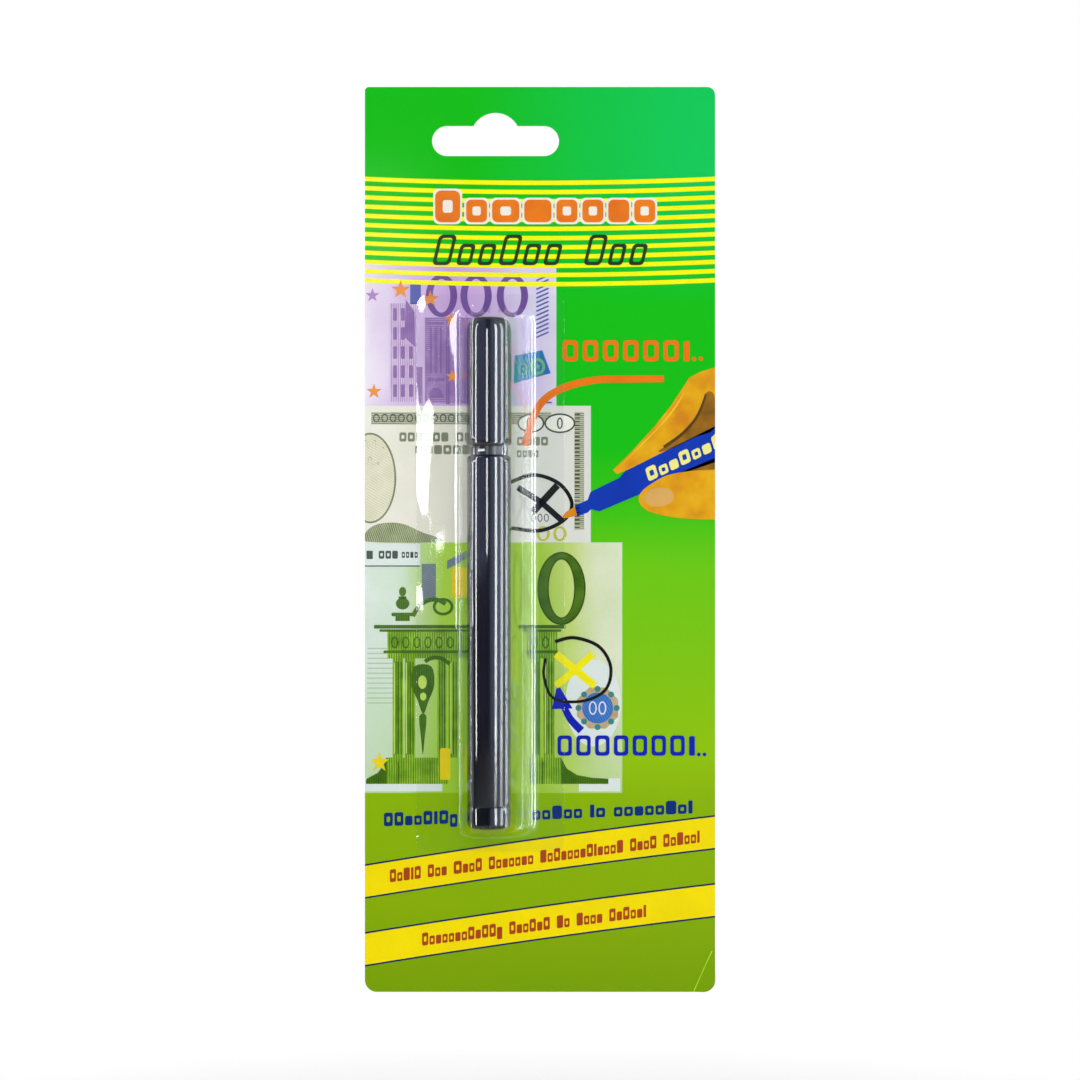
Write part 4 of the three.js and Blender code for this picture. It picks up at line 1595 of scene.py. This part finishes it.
def make_blister():
    verts, faces = [], []
    rows = film_rows()
    for z, share in rows:
        section = film_section(z, share)
        for x, height in section:
            px, pz = rounded_corner(x, z)
            up = FILM_LIFT + FILM + min(height, CREST - FILM_LIFT - FILM)
            up += ripple(px, pz, share)
            verts.append((px * MM, (FACE - up) * MM, pz * MM))
    wide = len(section)
    for j in range(len(rows) - 1):
        for i in range(wide - 1):
            faces.append((j * wide + i, j * wide + i + 1, (j + 1) * wide + i + 1, (j + 1) * wide + i))
    piece = new_piece("blister_film", verts, faces, [clear_film, film_edge], "blister")
    if piece.data.polygons[0].normal.y > 0:
        piece.data.flip_normals()
    piece.data.shade_smooth()
    rounder = piece.modifiers.new("round", "SUBSURF")
    rounder.levels = rounder.render_levels = 1
    wall = piece.modifiers.new("wall", "SOLIDIFY")
    wall.thickness = FILM * MM
    wall.offset = -1
    wall.material_offset_rim = 1
    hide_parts("blister_shell")


make_blister()


# ---------------------------------------------------------------- stage, lights and camera

CARD_MIDDLE = Vector((11.2, 0.0, -107.6)) * MM
PEN_MIDDLE = Vector((PEN_X, PEN_Y, (plug_low.z + cap_high.z) / 2)) * MM
CAMERA_AWAY = 0.55
VIEW_WIDE = 0.272  # width of card plane that the camera takes in
FLOOR_DROP = 0.13  # card's foot to the floor
SENSOR_WIDE = 36


def make_floor():
    """Round pale floor that fades into the white surroundings."""
    level = FOOT * MM - FLOOR_DROP
    rings = (0.08, 0.2, 0.35, 0.5, 0.7)
    sides = 64
    centre = (CARD_MIDDLE.x, CARD_MIDDLE.y, level)
    verts = [centre]
    for r in rings:
        for i in range(sides):
            turn = 2 * math.pi * i / sides
            verts.append((centre[0] + r * math.cos(turn), centre[1] + r * math.sin(turn), level))
    faces = [(0, 1 + i, 1 + (i + 1) % sides) for i in range(sides)]
    for k in range(len(rings) - 1):
        for i in range(sides):
            n = (i + 1) % sides
            a, b = 1 + k * sides, 1 + (k + 1) * sides
            faces.append((a + i, b + i, b + n, a + n))
    mesh = bpy.data.meshes.new("floor")
    mesh.from_pydata(verts, [], faces)
    made, tree, shader = new_material("floor_pale")
    spot = put(tree, "VectorMath", {0: place(tree), 1: centre}, operation="SUBTRACT").outputs[0]
    reach = put(tree, "VectorMath", {0: spot}, operation="LENGTH").outputs["Value"]
    mottle = put(tree, "TexNoise", {"Vector": spot, "Scale": 60.0, "Detail": 3.0})
    shade = ramp(tree, mottle.outputs["Fac"], [(0.3, tint("eeeeee")), (0.7, tint("f6f6f6"))])
    tree.links.new(shade, shader.inputs["Base Color"])
    shader.inputs["Roughness"].default_value = 0.9
    tree.links.new(between(tree, reach, 0.22, 0.5, 1.0, 0.0), shader.inputs["Alpha"])
    mesh.materials.append(made)
    floor = bpy.data.objects.new("floor", mesh)
    bpy.context.scene.collection.objects.link(floor)


# what polished faces see in front of the pack: place from far left to far right, and radiance
GLOSSY_SKY = (
    (0.0, (0.9, 0.95, 1.2)),
    (0.14, (0.45, 0.5, 0.85)),
    (0.34, (0.4, 0.45, 0.8)),
    (0.43, (0.1, 0.11, 0.2)),
    (0.53, (0.1, 0.11, 0.2)),
    (0.6, (0.55, 0.65, 0.95)),
    (0.75, (0.9, 1.1, 1.5)),
    (0.92, (1.2, 1.5, 1.9)),
    (1.0, (0.9, 1.1, 1.4)),
)
FLOOR_DARK = (-0.115, -0.065, 0.1, 1.0)  # low on the left: slopes and the shares of light left there
SKY_GAIN = 2.0  # the ramp holds values up to one, so it stores them divided by this
MIRRORED_REAR, MATT_DOME = 1.1, 0.45  # radiance behind the pack and that matt faces see


def make_surroundings():
    """White to the eye and soft to matt faces; polished faces see a studio that is dark in front."""
    world = bpy.data.worlds.new("surroundings")
    world.use_nodes = True
    bpy.context.scene.world = world
    tree = world.node_tree
    sky = tree.nodes["Background"]
    path = put(tree, "LightPath").outputs
    aim = put(tree, "SeparateXYZ", {0: put(tree, "TexCoord").outputs["Generated"]}).outputs
    sideways = sums(tree, "MULTIPLY_ADD", aim["X"], 0.5, 0.5)
    stops = [(at, tuple(v / SKY_GAIN for v in colour) + (1,)) for at, colour in GLOSSY_SKY]
    front = ramp(tree, sideways, stops)
    rear = between(tree, aim["Y"], -0.05, 0.1)
    grey = MIRRORED_REAR / SKY_GAIN
    floor_dark = between(tree, aim["Z"], *FLOOR_DARK)
    dim = sums(tree, "MAXIMUM", floor_dark, between(tree, sideways, 0.45, 0.55))
    front = blend(tree, dim, (0, 0, 0, 1), front)
    mirrored = blend(tree, rear, front, (grey, grey, grey, 1))
    dome = (MATT_DOME / SKY_GAIN,) * 3 + (1,)
    white = (1 / SKY_GAIN,) * 3 + (1,)
    seen = blend(tree, path["Is Glossy Ray"], dome, mirrored)
    tree.links.new(blend(tree, path["Is Camera Ray"], seen, white), sky.inputs["Color"])
    sky.inputs["Strength"].default_value = SKY_GAIN


def lamp_panel(name, azimuth, distance, wide, low, high, radiance, soft=False):
    """An upright rectangular lamp at an azimuth round the pen: 0 in front, 90 to the right.

    Its foot and head are heights in millimetres. A soft one lights matt faces alone, the others
    are only mirrored.
    """
    a = math.radians(azimuth)
    out = Vector((math.sin(a), -math.cos(a), 0))
    tall = (high - low) * MM
    lamp = bpy.data.lights.new(name, "AREA")
    lamp.shape = "RECTANGLE"
    lamp.size, lamp.size_y = wide, tall
    lamp.energy = radiance * math.pi * wide * tall
    holder = bpy.data.objects.new(name, lamp)
    level = (low + high) / 2 * MM
    holder.location = Vector((PEN_MIDDLE.x, PEN_MIDDLE.y, level)) + out * distance
    holder.rotation_euler = out.to_track_quat("Z", "Y").to_euler()
    holder.visible_camera = False
    holder.visible_glossy = not soft
    holder.visible_diffuse = soft
    bpy.context.scene.collection.objects.link(holder)


def make_lights():
    lamp_panel("strip_left", -70, 0.75, 0.1, -450, 500, 14)
    lamp_panel("strip_middle", -9, 0.7, 0.11, -152, 100, 12)
    lamp_panel("strip_right", 38, 0.75, 0.16, -700, 500, 14)
    lamp_panel("strip_far_right", 72, 0.75, 0.2, -700, 500, 8)
    lamp_panel("fill_front", 6, 1.0, 0.7, -220, 480, 3.9, soft=True)
    lamp_panel("fill_behind", 180, 0.9, 0.9, -300, 500, 1.2, soft=True)


def make_camera():
    camera = bpy.data.cameras.new("camera")
    camera.sensor_width = SENSOR_WIDE
    camera.lens = SENSOR_WIDE * CAMERA_AWAY / VIEW_WIDE
    camera.clip_start, camera.clip_end = 0.01, 20
    holder = bpy.data.objects.new("camera", camera)
    holder.location = CARD_MIDDLE + Vector((0, -CAMERA_AWAY, 0))
    holder.rotation_euler = (math.radians(90), 0, 0)
    bpy.context.scene.collection.objects.link(holder)
    bpy.context.scene.camera = holder


bpy.context.scene.view_settings.view_transform = "Standard"
make_floor()
make_surroundings()
make_lights()
make_camera()
